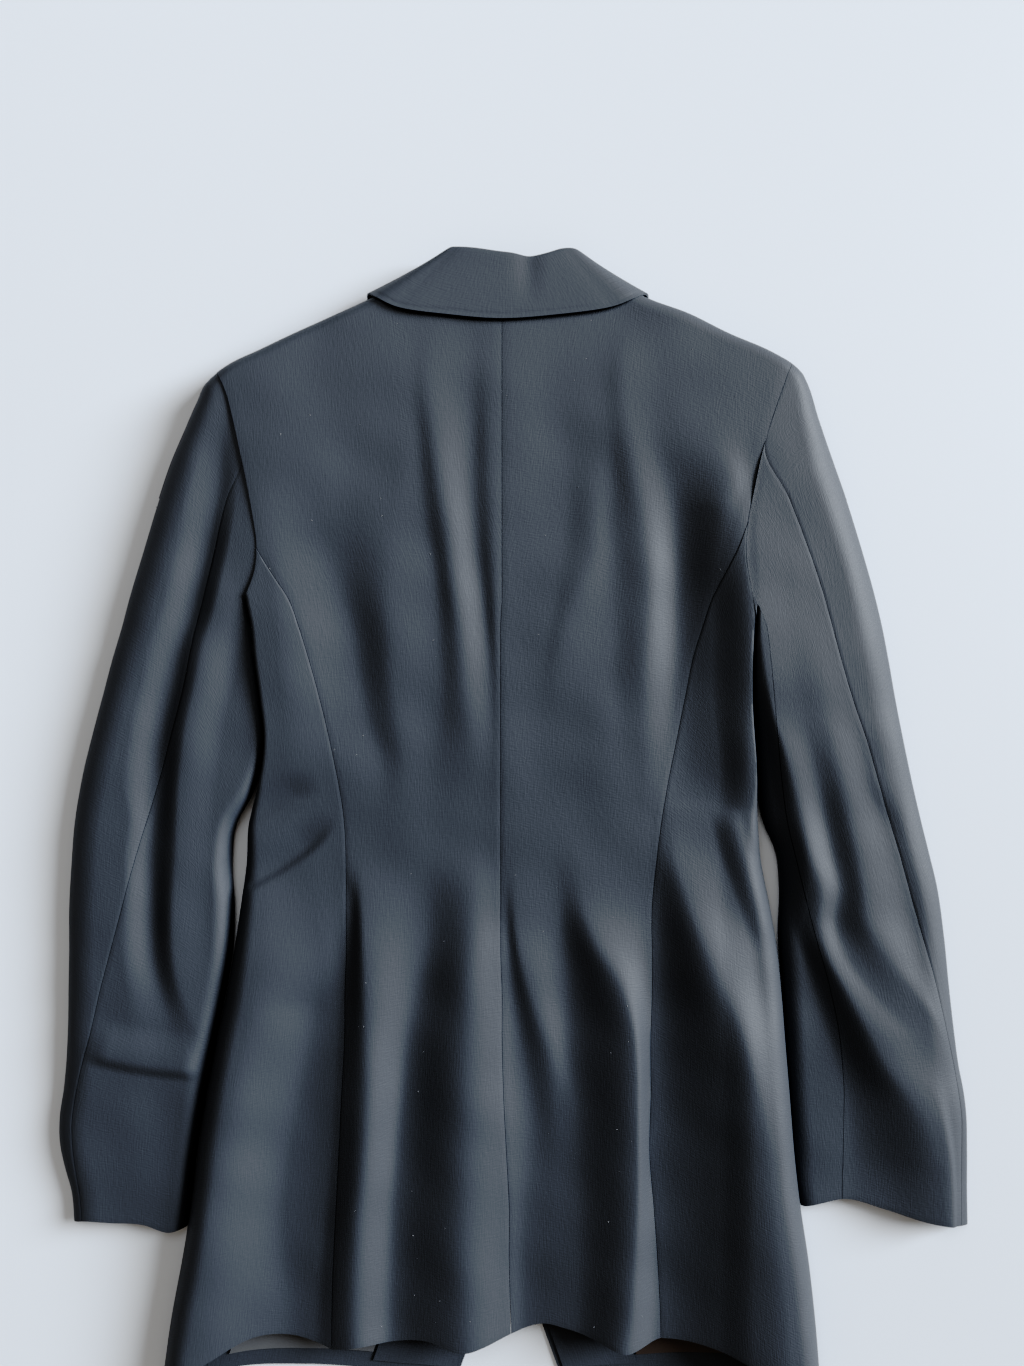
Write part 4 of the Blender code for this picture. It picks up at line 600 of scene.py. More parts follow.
for n, stretch in enumerate((WARP, WEFT)):
    drawn_out = weave.nodes.new("ShaderNodeMapping")
    drawn_out.inputs["Scale"].default_value = stretch
    weave.links.new(threads.outputs[0], drawn_out.inputs["Vector"])
    yarn = weave.nodes.new("ShaderNodeTexNoise")
    yarn.inputs["Scale"].default_value = 0.9
    yarn.inputs["Detail"].default_value = 1.0
    weave.links.new(drawn_out.outputs["Vector"], yarn.inputs["Vector"])
    weave.links.new(yarn.outputs["Fac"], height.inputs[n])
weave.links.new(height.outputs[0], made.inputs["Height"])
slub = weave.nodes.new("ShaderNodeTexNoise")
slub.inputs["Scale"].default_value = 0.55
slub.inputs["Detail"].default_value = 3.0
slub.inputs["Roughness"].default_value = 0.65
weave.links.new(threads.outputs[0], slub.inputs["Vector"])
weave.links.new(slub.outputs["Fac"], made.inputs["Fleck"])
cloud = weave.nodes.new("ShaderNodeTexNoise")
cloud.inputs["Scale"].default_value = 0.013
cloud.inputs["Detail"].default_value = 4.0
weave.links.new(threads.outputs[0], cloud.inputs["Vector"])
weave.links.new(cloud.outputs["Fac"], made.inputs["Cloud"])


FLECK_SHARE, CLOUD_SHARE = 0.55, 0.45
ROUGH_SPREAD = 0.07


def cloth_material(name, dark, light, rough, pitch, strength, distance, specular=0.5):
    """A woven cloth: two colours mixed by its flecks and clouding, and the weave as relief."""
    made = bpy.data.materials.new(name)
    made.use_nodes = True
    nodes, links = made.node_tree.nodes, made.node_tree.links
    shader = nodes["Principled BSDF"]
    shader.inputs["Specular IOR Level"].default_value = specular
    cloth = nodes.new("ShaderNodeGroup")
    cloth.node_tree = weave
    cloth.inputs["Pitch"].default_value = pitch
    both = nodes.new("ShaderNodeMath")
    both.operation = "MULTIPLY_ADD"
    both.inputs[1].default_value = FLECK_SHARE
    links.new(cloth.outputs["Fleck"], both.inputs[0])
    share = nodes.new("ShaderNodeMath")
    share.operation = "MULTIPLY"
    share.inputs[1].default_value = CLOUD_SHARE
    links.new(cloth.outputs["Cloud"], share.inputs[0])
    links.new(share.outputs[0], both.inputs[2])
    colour = nodes.new("ShaderNodeMix")
    colour.data_type = "RGBA"
    colour.inputs["A"].default_value = (*dark, 1)
    colour.inputs["B"].default_value = (*light, 1)
    links.new(both.outputs[0], colour.inputs["Factor"])
    links.new(colour.outputs["Result"], shader.inputs["Base Color"])
    shine = nodes.new("ShaderNodeMapRange")
    shine.inputs["To Min"].default_value = rough - ROUGH_SPREAD
    shine.inputs["To Max"].default_value = rough + ROUGH_SPREAD
    links.new(cloth.outputs["Fleck"], shine.inputs["Value"])
    links.new(shine.outputs["Result"], shader.inputs["Roughness"])
    relief = nodes.new("ShaderNodeBump")
    relief.inputs["Strength"].default_value = strength
    relief.inputs["Distance"].default_value = distance
    links.new(cloth.outputs["Height"], relief.inputs["Height"])
    links.new(relief.outputs["Normal"], shader.inputs["Normal"])
    return made


wool = cloth_material("black worsted", (0.0318, 0.0364, 0.0436), (0.0455, 0.0508, 0.0592), rough=0.62,
                      pitch=0.0009, strength=0.85, distance=0.00016, specular=0.42)


def lay(obj, node, material):
    """Gives a piece its cloth, attaches it to the root in its solid's place and hides that solid."""
    obj.data.materials.append(material)
    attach(obj, "root")
    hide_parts(node)


def turned_at(grid, first, last):
    """Marks the first or the last column as the line that the cloth turns under at."""
    mask = np.zeros(grid.shape[:2], bool)
    mask[:, 0] |= first
    mask[:, -1] |= last
    return mask


BACK_CUT = {"left": ((0.235, 0.77), 0.118), "right": ((0.225, 0.77), 0.113)}
BACK_WIDTH = 118
for side, out in OUT.items():
    seam = line_of(BODY_LINES, BACK_SEAM[side])
    hem_y = BACK_HEM[side][-1][1]
    count = int((TIP[side] - hem_y) / STEP)
    # Rows lie closer together where the back turns over the shoulder.
    u = np.linspace(0, 1, count)
    closer, over = 0.6, 26
    rows = u - closer * u * np.exp(-u * over)
    edge_y = TIP[side] + (hem_y - TIP[side]) * rows
    edge_x = np.where(edge_y >= SEAM_TOP[side], through(ARMHOLE[side], edge_y), through(seam, edge_y))
    edge = np.stack([edge_x - out * SEAM_GAP / 2, edge_y], 1)
    mid_y = NECK[side][0][1] + (BACK_HEM[side][0][1] - NECK[side][0][1]) * rows
    middle = np.stack([through(line_of(BODY_LINES, MIDDLE_SEAM), mid_y) + out * SEAM_GAP / 2, mid_y], 1)
    top = across_line(NECK[side] + SHOULDER[side][1:], middle[0, 0], edge[0, 0])
    hem = across_line(BACK_HEM[side], middle[-1, 0], edge[-1, 0])
    spread = np.tile(closer_at_ends(int(BACK_WIDTH / STEP)), (count, 1))
    grid = between(lambda r: middle, lambda r: edge, top, hem, rows, spread)
    turned_over = np.zeros(grid.shape[:2], bool)
    turned_over[0] = (grid[0, :, 0] - NECK[side][-1][0]) * out >= 0
    dips = sewn_dip(grid, 1, 1, (0, 0.6))
    back = cloth_shell(f"back_{side}_cloth", *upper_cloth(grid, "body", turned_over, dips))
    flat, area = BACK_CUT[side]
    lay(back, f"back_{side}", wool)

# ----------------------------------------------------------- The side panels
# One panel of the same wool at each side, from the curved back seam round the garment's side fold to the side
# seam underneath. The jacket is wider at its hem than it needs, so the panels hang in folds below the waist.
SIDE_HEM = {
    "left": ((-129, -370), (-160, -362), (-184, -362), (-215, -376), (-252, -399)),
    "right": ((103, -363), (125, -364), (160, -372), (190, -388), (218, -404)),
}
UNDER_HEM = {
    "left": ((-252, -399), (-240, -398.5), (-222.5, -397)),
    "right": ((218, -404), (204, -402.5), (189.5, -400)),
}
UNDER_RADIUS = 6.5  # that the lower layer rises over at a side fold


def lower_cloth(grid, where, turned, raised=0.0, under=0.0):
    """The outside and the inside of the lower layer: flat on the surface, and up at the side folds."""
    points = grid.reshape(-1, 2)
    _, _, fold, inward, far = nearness(points, where)
    height = fold - under
    share = np.where(turned.reshape(-1), 0.0, np.clip(far / UNDER_RADIUS, 0, 1))
    cos = 1 - share
    sin = np.sqrt(1 - cos * cos)
    size = np.sqrt((height * cos) ** 2 + (UNDER_RADIUS * sin) ** 2)
    z = np.maximum(height * (1 - sin), raised)
    inner = points + inward * (CLOTH * height * cos / size)[:, None]
    inner_z = z + CLOTH * UNDER_RADIUS * sin / size
    shape = (*grid.shape[:2], 3)
    return np.column_stack([points, z]).reshape(shape), np.column_stack([inner, inner_z]).reshape(shape)


def spread_over(widths, count, first=0.0, last=0.0):
    """Shares across each row. The columns lie closer together over the radius where the cloth turns."""
    rows = []
    turns, widest = 9, 0.4
    for width in widths:
        start = min(first / max(width, 1), widest)
        end = min(last / max(width, 1), widest)
        angle = np.linspace(0, np.pi / 2, turns + 1)
        head = start * (1 - np.cos(angle)) if first else np.zeros(1)
        tail = 1 - (end * (1 - np.cos(angle)))[::-1] if last else np.ones(1)
        middle = np.linspace(head[-1], tail[0], count - len(head) - len(tail) + 2)
        rows.append(np.concatenate([head[:-1], middle, tail[1:]]))
    return np.array(rows)


def sewn_together(*patches):
    """Patches side by side, each starting on the last one's final column."""
    outer = [patches[0][0]] + [patch[0][:, 1:] for patch in patches[1:]]
    inner = [patches[0][1]] + [patch[1][:, 1:] for patch in patches[1:]]
    return np.concatenate(outer, 1), np.concatenate(inner, 1)


def row_widths(left, right, rows):
    """Width of each row between two edges."""
    return np.abs(left(rows)[:, 0] - right(rows)[:, 0])


SIDE_CUT = {"left": ((0.17, 0.6), 0.078), "right": ((0.16, 0.6), 0.073)}
SIDE_ROWS = 250
SIDE_TURN = 15.0  # that the upper layer's points crowd over at the side fold
for side, out in OUT.items():
    turn, under = SEAM_TOP[side], UNDERARM[side]
    half_gap = out * SEAM_GAP / 2
    rows = np.linspace(0, 1, SIDE_ROWS)
    seam = down_line(line_of(BODY_LINES, BACK_SEAM[side]), turn, SIDE_HEM[side][0][1], half_gap)
    fold = down_line(line_of(BODY_LINES, SIDE_FOLD[side]), under, SIDE_HEM[side][-1][1])
    front = down_line(line_of(BODY_LINES, SIDE_SEAM[side]), turn, UNDER_HEM[side][-1][1], half_gap)
    fold_top = fold(np.zeros(1))[0, 0]

    def armhole(u):
        y = turn + (under - turn) * u
        x = through(ARMHOLE[side], y) + np.where(u < 0.02, half_gap, -half_gap * (1 - u))
        return np.stack([np.where(u > 0.98, fold_top, x), y], 1)

    spread = spread_over(row_widths(seam, fold, rows), count=52, last=SIDE_TURN)
    hem = across_line(SIDE_HEM[side], seam(rows)[-1, 0], fold(rows)[-1, 0])
    grid = between(seam, fold, armhole, hem, rows, spread)
    upper = upper_cloth(grid, "body", turned_at(grid, False, True), sewn_dip(grid, 1, 0, (0.6, 0.6)))
    spread = spread_over(row_widths(fold, front, rows), count=16, first=UNDER_RADIUS)
    hem = across_line(UNDER_HEM[side], fold(rows)[-1, 0], front(rows)[-1, 0])
    grid = between(fold, front, lambda u: armhole(1 - u), hem, rows, spread)
    lower = lower_cloth(grid, "body", turned_at(grid, True, False))
    panel = cloth_shell(f"side_{side}_cloth", *sewn_together(upper, lower))
    flat, area = SIDE_CUT[side]
    lay(panel, f"side_{side}", wool)

# --------------------------------------------------------------- The sleeves
# Two-piece sleeves of the wool, sewn into the armholes and laid flat at the sides. The top sleeve goes round
# the outer fold, the under sleeve is the piece nearer to the body, and the elbow seam runs down to the cuff.
# Each sleeve has buckled a little below the elbow.
CROWN_SLEEVE = ((330, 24), (200, 24), (100, 22.5), (0, 20), (-150, 18), (-230, 15), (-290, 13))
# How the sleeve turns under beside the body, given as for the body. Under the arm its fold stands high.
INNER_TURN = {
    "left": ((159, 3, 21), (148, 4, 19), (130, 5, 17.5), (60, 6, 16), (30, 8, 11), (0, 9, 4.2), (-60, 12, 4.2),
             (-290, 11, 4.2)),
    "right": ((152, 1.5, 31), (130, 2.5, 33), (102, 5, 25), (74, 11, 14), (46, 17, 9), (18, 19, 7),
              (-10, 20, 5), (-38, 18, 4.2), (-70, 13, 4.2), (-290, 11, 4.2)),
}
# Fold lines of the sleeves in the same way as the skirt's.
SLEEVE_FOLD_LINES = {
    "left": (
        (330, ((-228, 0), (-206, 0), (-196, 0.3), (-170, 1))),
        (285, ((-228, 0), (-206, 0), (-196, 0), (-170, 1.5))),
        (262, ((-229, 0), (-207, -1.2), (-196, 0.3), (-170, 2.2))),
        (230, ((-232, 0), (-210, -3.2), (-194, 1), (-168, 3.2))),
        (200, ((-237, 0), (-215, -4.8), (-198, 1.6), (-172, 3))),
        (176, ((-243, 0), (-221, -5.2), (-203, 2), (-177, 2.4))),
        (151, ((-249, 0), (-227, -5.2), (-209, 2), (-183, 0.3))),
        (127, ((-258, 0), (-236, -5.2), (-217, 2), (-191, -1.5))),
        (102, ((-263, 0), (-241, -5.2), (-222, 2.3), (-196, -2))),
        (78, ((-269, 0), (-247, -5.6), (-228, 2.3), (-202, -2))),
        (53, ((-273, 0), (-251, -5.6), (-232, 2.3), (-206, -1.5))),
        (28, ((-275, 0), (-253, -5.6), (-235, 2.3), (-209, -0.5))),
        (4, ((-272, 0), (-255, -5.6), (-236, 2.3), (-210, 0))),
        (-21, ((-275, 0), (-257, -5.6), (-237, 2.3), (-211, 0))),
        (-45, ((-275, 0), (-257, -5.6), (-239, 2.3), (-213, 0))),
        (-70, ((-276, 0), (-257, -5.6), (-240, 2), (-214, 0))),
        (-94, ((-276, 0), (-256, -4.8), (-239, 1.3), (-213, 0))),
        (-119, ((-273, 0), (-251, -2.8), (-234, 0.7), (-208, 0))),
        (-143, ((-271, 0), (-245, -1.2), (-224, 0.3), (-198, 0))),
        (-172, ((-268, 0), (-238, 0), (-216, 0), (-190, 0))),
    ),
    "right": (
        (330, ((172, 5.5), (180, 5.5), (196, 5), (205, 4.5), (225, 4), (255, 3))),
        (262, ((170, 6.5), (177, 6.5), (197, 6), (212, 5.5), (230, 5), (255, 4))),
        (211, ((161, 8.5), (168, 9), (187, 8.5), (205, 8), (228, 7), (255, 5))),
        (176, ((161, 10.5), (169, 11), (190, 10.5), (208, 9.5), (230, 8.5), (255, 6))),
        (140, ((166, 12), (170, 12.3), (192, 11), (208, 10), (232, 8.5), (258, 6))),
        (102, ((168, 9.5), (174.5, 11.5), (197, 10), (212, 9.5), (236, 7), (262, 5))),
        (78, ((172, 6), (180, 9.5), (203, 8), (214, 7.5), (238, 4.5), (264, 3.5))),
        (53, ((176, 3), (188, 8), (208, 5.5), (220, 6), (246, 2), (268, 2))),
        (28, ((180, 1), (195, 6.5), (214, 3), (228, 4.5), (250, 1), (272, 1))),
        (4, ((184, -0.5), (201, 4.7), (219, -0.5), (235, 2.4), (262, -1.5), (276, 0))),
        (-21, ((188, -1.5), (207, 4.2), (224, -1), (241, 2.8), (270, -1.5), (282, 0))),
        (-45, ((190, -3), (214, 3.4), (229, -0.5), (245, 3.2), (277, -1.5), (288, 0))),
        (-70, ((195, -4), (214, 1.7), (227, -1.5), (249, 3.6), (282, -1.5), (294, 0))),
        (-94, ((204, -4.5), (221, 3), (235, 0.8), (262, 3.2), (288, -0.5), (299, 0))),
        (-119, ((212, -5), (235, 4.2), (254, 2.3), (281, 3.2), (294, 1), (303, 0))),
        (-143, ((220, -5), (248, 5.1), (278, 2.3), (297, 2), (303, 1), (308, 0))),
        (-168, ((228, -5), (261, 5.5), (286, 3.3), (302, 1.6), (308, 1), (313, 0))),
        (-193, ((233, -5), (279, 5.5), (296, 4.3), (306, 1.6), (311, 1), (316, 0))),
        (-217, ((236, -5), (293, 5.1), (303, 4.8), (309, 1.6), (313, 1), (318, 0))),
        (-242, ((237, -5), (303, 4.2), (308, 4.3), (312, 1.6), (315, 1), (319, 0))),
        (-292, ((238, -4), (306, 3.4), (310, 3.8), (314, 1.6), (317, 1), (321, 0))),
    ),
}
# The crease across the left sleeve over its cuff.
SLEEVE_FOLDS = {
    "left": ((3.0, 10, 26, 20, 14, ((-306, -158), (-286, -163), (-262, -168), (-219, -172.5))),),
    "right": (),
}
for side, out in OUT.items():
    crown_of[side] = CROWN_SLEEVE
    lines_of[side] = (SLEEVE_FOLD_LINES[side],)
    folds_of[side] = SLEEVE_FOLDS[side]
    low = CUFF[side][0][1] - PAST_CUFF
    inner_fold = side_fold(SLEEVE_LINES[side], INNER_FOLD, UNDERARM[side], low, INNER_TURN[side], out, (side,))
    turned_sides.append(inner_fold)
ELBOW_SHARE = 0.375  # of the armhole, from the shoulder's tip down to the elbow seam
FRONT_SEAM_SHARE = 0.72  # of the armhole's lowest part, down to the front seam
SLEEVE_ROWS = 262
ROW_POWER = 1.12  # brings the rows closer together at the armhole
OUTER_CROWD, INNER_CROWD = 22, 11  # that the upper layer's points crowd over at the two folds


def sleeve_hole(side, start, end):
    """The sleeve's edge in the armhole between two heights."""
    gap = OUT[side] * SEAM_GAP / 2
    outer = through(line_of(SLEEVE_LINES[side], OUTER_FOLD), TIP[side])
    inner = through(line_of(SLEEVE_LINES[side], INNER_FOLD), UNDERARM[side])

    def at(u):
        y = start + (end - start) * u
        x = through(ARMHOLE[side], y) + gap
        x = np.where(y > TIP[side] - 0.01, outer + gap, x)
        return np.stack([np.where(y < UNDERARM[side] + 0.01, inner, x), y], 1)

    return at


def sleeve_line(side, n, top, shift=0.0):
    """A fold or a seam of the sleeve from the armhole down to the cuff."""
    gap = OUT[side] * SEAM_GAP / 2
    points = line_of(SLEEVE_LINES[side], n)
    low = float(through(CUFF[side], through(points, CUFF[side][0][1])))
    edge = down_line(points, top, low, shift * gap)
    if n in (OUTER_FOLD, INNER_FOLD):
        return edge
    off = through(ARMHOLE[side], top) + gap - edge(np.zeros(1))[0, 0]
    reach = 8  # the seam comes back to its line over an eighth of its way

    def at(rows):
        found = edge(rows)
        found[:, 0] += off * np.clip(1 - rows * reach, 0, 1)
        return found

    return at


def sleeve_patch(side, left, right, heights, count, radii, layer, sewn=(0, 0)):
    """One layer of the sleeve between two of its lines, from two heights in the armhole, in so many columns."""
    rows = np.linspace(0, 1, SLEEVE_ROWS) ** ROW_POWER
    spread = spread_over(row_widths(left, right, rows), count, *radii)
    hole = sleeve_hole(side, *heights)
    cuff = across_line(CUFF[side], left(rows)[-1, 0], right(rows)[-1, 0])
    grid = between(left, right, hole, cuff, rows, spread)
    turned = turned_at(grid, bool(radii[0]), bool(radii[1]))
    if layer == "upper":
        return upper_cloth(grid, side, turned, sewn_dip(grid, *sewn, (0.4, 0.6)))
    return lower_cloth(grid, side, turned)


SLEEVE_CUT = {
    "top_left": ((0.21, 0.61), 0.09),
    "top_right": ((0.23, 0.61), 0.1),
    "under_left": ((0.15, 0.56), 0.06),
    "under_right": ((0.13, 0.56), 0.05),
}
for side, out in OUT.items():
    tip, turn, under = TIP[side], SEAM_TOP[side], UNDERARM[side]
    elbow_y = tip + (turn - tip) * ELBOW_SHARE
    seam_y = turn + (under - turn) * FRONT_SEAM_SHARE
    outer = sleeve_line(side, OUTER_FOLD, tip)
    inner = sleeve_line(side, INNER_FOLD, under)
    elbow = sleeve_line(side, ELBOW_SEAM, elbow_y, 1)
    upper = sleeve_patch(side, elbow, outer, (elbow_y, tip), 34, (0, OUTER_CROWD), "upper", sewn=(1, 0))
    if side == "left":
        seam = sleeve_line(side, FRONT_SEAM, under, 1)
        lower = sleeve_patch(side, outer, seam, (tip, under), 30, (UNDER_RADIUS, 0), "lower")
        top_sleeve = sewn_together(upper, lower)
    else:
        seam = sleeve_line(side, FRONT_SEAM, seam_y, -1)
        lower = sleeve_patch(side, outer, inner, (tip, under), 44, (UNDER_RADIUS, UNDER_RADIUS), "lower")
        strip = sleeve_patch(side, inner, seam, (under, seam_y), 20, (INNER_CROWD, 0), "upper")
        top_sleeve = sewn_together(upper, lower, strip)
    flat, area = SLEEVE_CUT[f"top_{side}"]
    panel = cloth_shell(f"top_sleeve_{side}_cloth", *top_sleeve)
    lay(panel, f"top_sleeve_{side}", wool)
    elbow = sleeve_line(side, ELBOW_SEAM, elbow_y, -1)
    if side == "left":
        seam = sleeve_line(side, FRONT_SEAM, under, -1)
        upper = sleeve_patch(side, elbow, inner, (elbow_y, under), 48, (0, INNER_CROWD), "upper", sewn=(1, 0))
        lower = sleeve_patch(side, inner, seam, (under, under), 14, (UNDER_RADIUS, 0), "lower")
        under_sleeve = sewn_together(upper, lower)
    else:
        seam = sleeve_line(side, FRONT_SEAM, seam_y, 1)
        under_sleeve = sleeve_patch(side, elbow, seam, (elbow_y, seam_y), 48, (0, 0), "upper", sewn=(1, 0))
    flat, area = SLEEVE_CUT[f"under_{side}"]
    panel = cloth_shell(f"under_sleeve_{side}_cloth", *under_sleeve)
    lay(panel, f"under_sleeve_{side}", wool)

# ---------------------------------------------------------------- The fronts
# The two fronts of the wool lie flat under the back, the left one over the right at the button, and are sewn to
# the side panels along the side seams. Only the strips below the back's hem show.
FRONT_EDGE = (
    # Height, then x of the left front's inner edge and of the right one's.
    (380, -92, 82),
    (362, -80, 68),
    (343, -65, 51),
    (270, -47.5, 33.5),
    (180, -26, 12),
    (90, -4.6, -8.6),
    (8, 14.5, -26.5),
    (-60, 15, -27),
    (-130, 14, -26),
    (-200, 9, -20),
    (-260, 0, -10),
    (-310, -12, 4),
    (-350, -24, 16),
    (-398, -41, 33),
)
FRONT_HEM = {
    "left": ((-41, -398), (-80, -395), (-150, -390), (-200, -392), (-222.5, -397)),
    "right": ((33, -398), (70, -396), (140, -393), (175, -396), (189.5, -400)),
}
# Inset of each lapel's outer edge from the line it folds at: y, inset.
LAPEL = (
    (337, 3), (322, 13), (307, 24), (300, 30), (288, 47), (276, 47), (240, 45), (190, 38), (130, 26), (100, 19),
    (50, 9), (22, 3.2),
)
LAPEL_LOW = {"left": 108.0, "right": 22.0}
FRONT_LINES = {"left": line_of(FRONT_EDGE, 1), "right": line_of(FRONT_EDGE, 2)}
LAPEL_MOST, LAPEL_NOTCH = 45.0, 276
BUTTON_AT = (-6.0, -2.0)
BUTTON_RADIUS = 10.0
FRONT_TOP = 380
FRONT_ROWS, FRONT_COLUMNS = 220, 60
# What lies under a front lifts it this much, and the front comes down again over RAMP beside it.
LAPEL_LIFT, COLLAR_LIFT, BUTTON_LIFT, FRONT_LIFT = 2.0, 1.5, 3.5, 2.6
COLLAR_LOW, COLLAR_RISE = 302, 52
BESIDE, AROUND = 14, 28
RAMP = 26.0


def ramp(distance, height):
    """Height of a front near what lies under it: nothing at a distance of -RAMP, all of it at nought."""
    t = np.clip(1 + distance / RAMP, 0, 1)
    return height * t * t * (3 - 2 * t)


def lifted_front(points, side):
    """How far the front is lifted by the lapel, the collar, the button and the other front under it."""
    x, y = points[:, 0], points[:, 1]
    inside = (x - through(FRONT_LINES[side], y)) * OUT[side]
    width = np.where(y > LAPEL_NOTCH, LAPEL_MOST, through(LAPEL, y))
    beside = ramp(width + BESIDE - inside, 1.0) * ramp(y - LAPEL_LOW[side] + AROUND, 1.0)
    total = beside * (LAPEL_LIFT + COLLAR_LIFT * np.clip((y - COLLAR_LOW) / COLLAR_RISE, 0, 1))
    if side == "right":
        away = np.hypot(x - BUTTON_AT[0], y - BUTTON_AT[1])
        return np.maximum(total, ramp(BUTTON_RADIUS + AROUND - away, BUTTON_LIFT))
    over = (x - through(FRONT_LINES["right"], y)) * OUT["right"]
    return np.maximum(total, ramp(over + BESIDE, 1.0) * (FRONT_LIFT + lifted_front(points, "right")))


FRONT_CUT = {"left": ((0.235, 0.79), 0.14), "right": ((0.235, 0.79), 0.125)}
for side, out in OUT.items():
    turn, low = SEAM_TOP[side], UNDER_HEM[side][-1][1]
    seam = line_of(BODY_LINES, SIDE_SEAM[side])
    rows = np.linspace(0, 1, FRONT_ROWS)
    edge_y = TIP[side] + (low - TIP[side]) * rows
    edge_x = np.where(edge_y >= turn, through(ARMHOLE[side], edge_y), through(seam, edge_y))
    edge = np.stack([edge_x - out * SEAM_GAP / 2, edge_y], 1)
    inner_y = FRONT_TOP + (FRONT_HEM[side][0][1] - FRONT_TOP) * rows
    inner = np.stack([through(FRONT_LINES[side], inner_y), inner_y], 1)
    top = across_line(SHOULDER[side], inner[0, 0], edge[0, 0])
    hem = across_line(FRONT_HEM[side], inner[-1, 0], edge[-1, 0])
    spread = np.tile(np.linspace(0, 1, FRONT_COLUMNS), (FRONT_ROWS, 1))
    grid = between(lambda r: inner, lambda r: edge, top, hem, rows, spread)
    turned_over = np.zeros(grid.shape[:2], bool)
    turned_over[0] = True
    raised = lifted_front(grid.reshape(-1, 2), side)
    front = cloth_shell(f"front_{side}_cloth", *lower_cloth(grid, "body", turned_over, raised, SEAM_GAP))
    flat, area = FRONT_CUT[side]
    lay(front, f"front_{side}", wool)

# --------------------------------------------------------------- The lapels
# The top of each front is turned back at the roll line and faced with the same wool. The lapels are notched
# below the collar, and lie pressed flat on the surface under the fronts, where they can't be seen.
LAPEL_CUT = {"left": ((0.062, 0.234), 0.008), "right": ((0.062, 0.321), 0.0095)}
LAPEL_ROWS, LAPEL_COLUMNS = 120, 14
LAPEL_START = 0.04  # share of the inset that is left free at the roll line
for side, out in OUT.items():
    y = np.linspace(LAPEL[0][0], LAPEL_LOW[side], LAPEL_ROWS)
    u = np.linspace(LAPEL_START, 1, LAPEL_COLUMNS)
    x = through(FRONT_LINES[side], y)[:, None] + out * through(LAPEL, y)[:, None] * u
    face = np.stack([x, np.repeat(y[:, None], LAPEL_COLUMNS, 1), np.zeros_like(x)], 2)
    lapel = cloth_shell(f"lapel_{side}_cloth", face, face + (0, 0, CLOTH), 0.5)
    flat, area = LAPEL_CUT[side]
    lay(lapel, f"lapel_{side}", wool)

# ---------------------------------------------------------------- The collar
# A stand sewn along the neck and a fall that rolls over it, in one piece of wool. The fall lies on the back,
# with its edge stitched. The collar's ends turn under at the sides and lie under the fronts.
COLLAR = (
    # From the left end round the neck to the right: seam at the neck, roll, edge of the fall, way of the roll.
    ((-61.5, 345.5, 4.1), (-58.5, 350, 4.0), (-97, 317, 0.85), (0, 0, -1)),
    ((-73, 357, 4.1), (-54.5, 366, 4.1), (-102, 334, 0.85), (0, 0, -1)),
    ((-83, 372, 4.8), (-50, 384, 4.6), (-105, 354, 1.0), (0, 0, -1)),
    ((-85, 377.8, 5.9), (-48, 394, 5.8), (-106, 371.5, 1.8), (-0.2, 0.3, -1)),
    ((-85, 381, 10.0), (-47, 401, 10.5), (-104.5, 377, 9.0), (-0.6, 0.8, 0)),
    ((-81, 380, 17.0), (-45.5, 404.5, 17.5), (-97, 369.5, 23.6), (-0.1, 0.2, 1)),
    ((-68, 375.5, 22.8), (-40, 405, 19.5), (-80, 361.5, 26.0), (0, 0, 1)),
    ((-40, 371, 23.4), (-28, 404, 20.5), (-50, 357.2, 26.2), (0, 0, 1)),
    ((-9, 369.5, 23.6), (-6, 401, 20.8), (-9, 354, 26.3), (0, 0, 1)),
    ((24, 371, 23.4), (18, 400, 20.5), (34, 357.2, 26.2), (0, 0, 1)),
    ((54, 375.5, 22.8), (34, 404, 19.5), (66, 361.8, 26.0), (0, 0, 1)),
    ((71, 380, 17.0), (43, 403.5, 17.5), (85, 369.5, 23.6), (0.1, 0.2, 1)),
    ((75, 381, 10.0), (45, 400, 10.5), (94, 377, 9.0), (0.6, 0.8, 0)),
    ((75, 377.8, 5.9), (46, 393, 5.8), (96, 371.5, 1.8), (0.2, 0.3, -1)),
    ((71, 372, 4.8), (44, 384, 4.6), (94, 354, 1.0), (0, 0, -1)),
    ((60, 357, 4.1), (42.5, 366, 4.1), (89, 334, 0.85), (0, 0, -1)),
    ((47.5, 345.5, 4.1), (44.5, 350, 4.0), (83, 317, 0.85), (0, 0, -1)),
)
STAND_SHORT, ROLL_OUT, ROLL_WIDE = 1.8, 1.5, 3.0
COLLAR_COLUMNS, COLLAR_ROWS = 240, 90
stations = []
for neck, roll, fall, way in COLLAR:
    neck, roll, fall = np.array(neck), np.array(roll), np.array(fall)
    way = np.array(way) / np.linalg.norm(way)
    back = (roll - neck) / np.linalg.norm(roll - neck)
    start = roll - back * STAND_SHORT
    far = start + way * ROLL_WIDE
    stations.append([neck, (2 * neck + start) / 3, (neck + 2 * start) / 3, start, roll + way * ROLL_OUT, far,
                     (3 * far + fall) / 4, (far + fall) / 2, (far + 3 * fall) / 4, fall])
stations = np.array(stations)
fine = np.linspace(0, len(stations) - 1, COLLAR_COLUMNS)
across = np.linspace(0, stations.shape[1] - 1, COLLAR_ROWS)
along = np.arange(len(stations))
strip = np.stack([[through(np.stack([along, stations[:, j, k]], 1), fine) for j in range(stations.shape[1])]
                  for k in range(3)], 2).transpose(1, 0, 2)
points = np.arange(stations.shape[1])
middle = np.stack([[through(np.stack([points, row[:, k]], 1), across) for row in strip] for k in range(3)], 2)
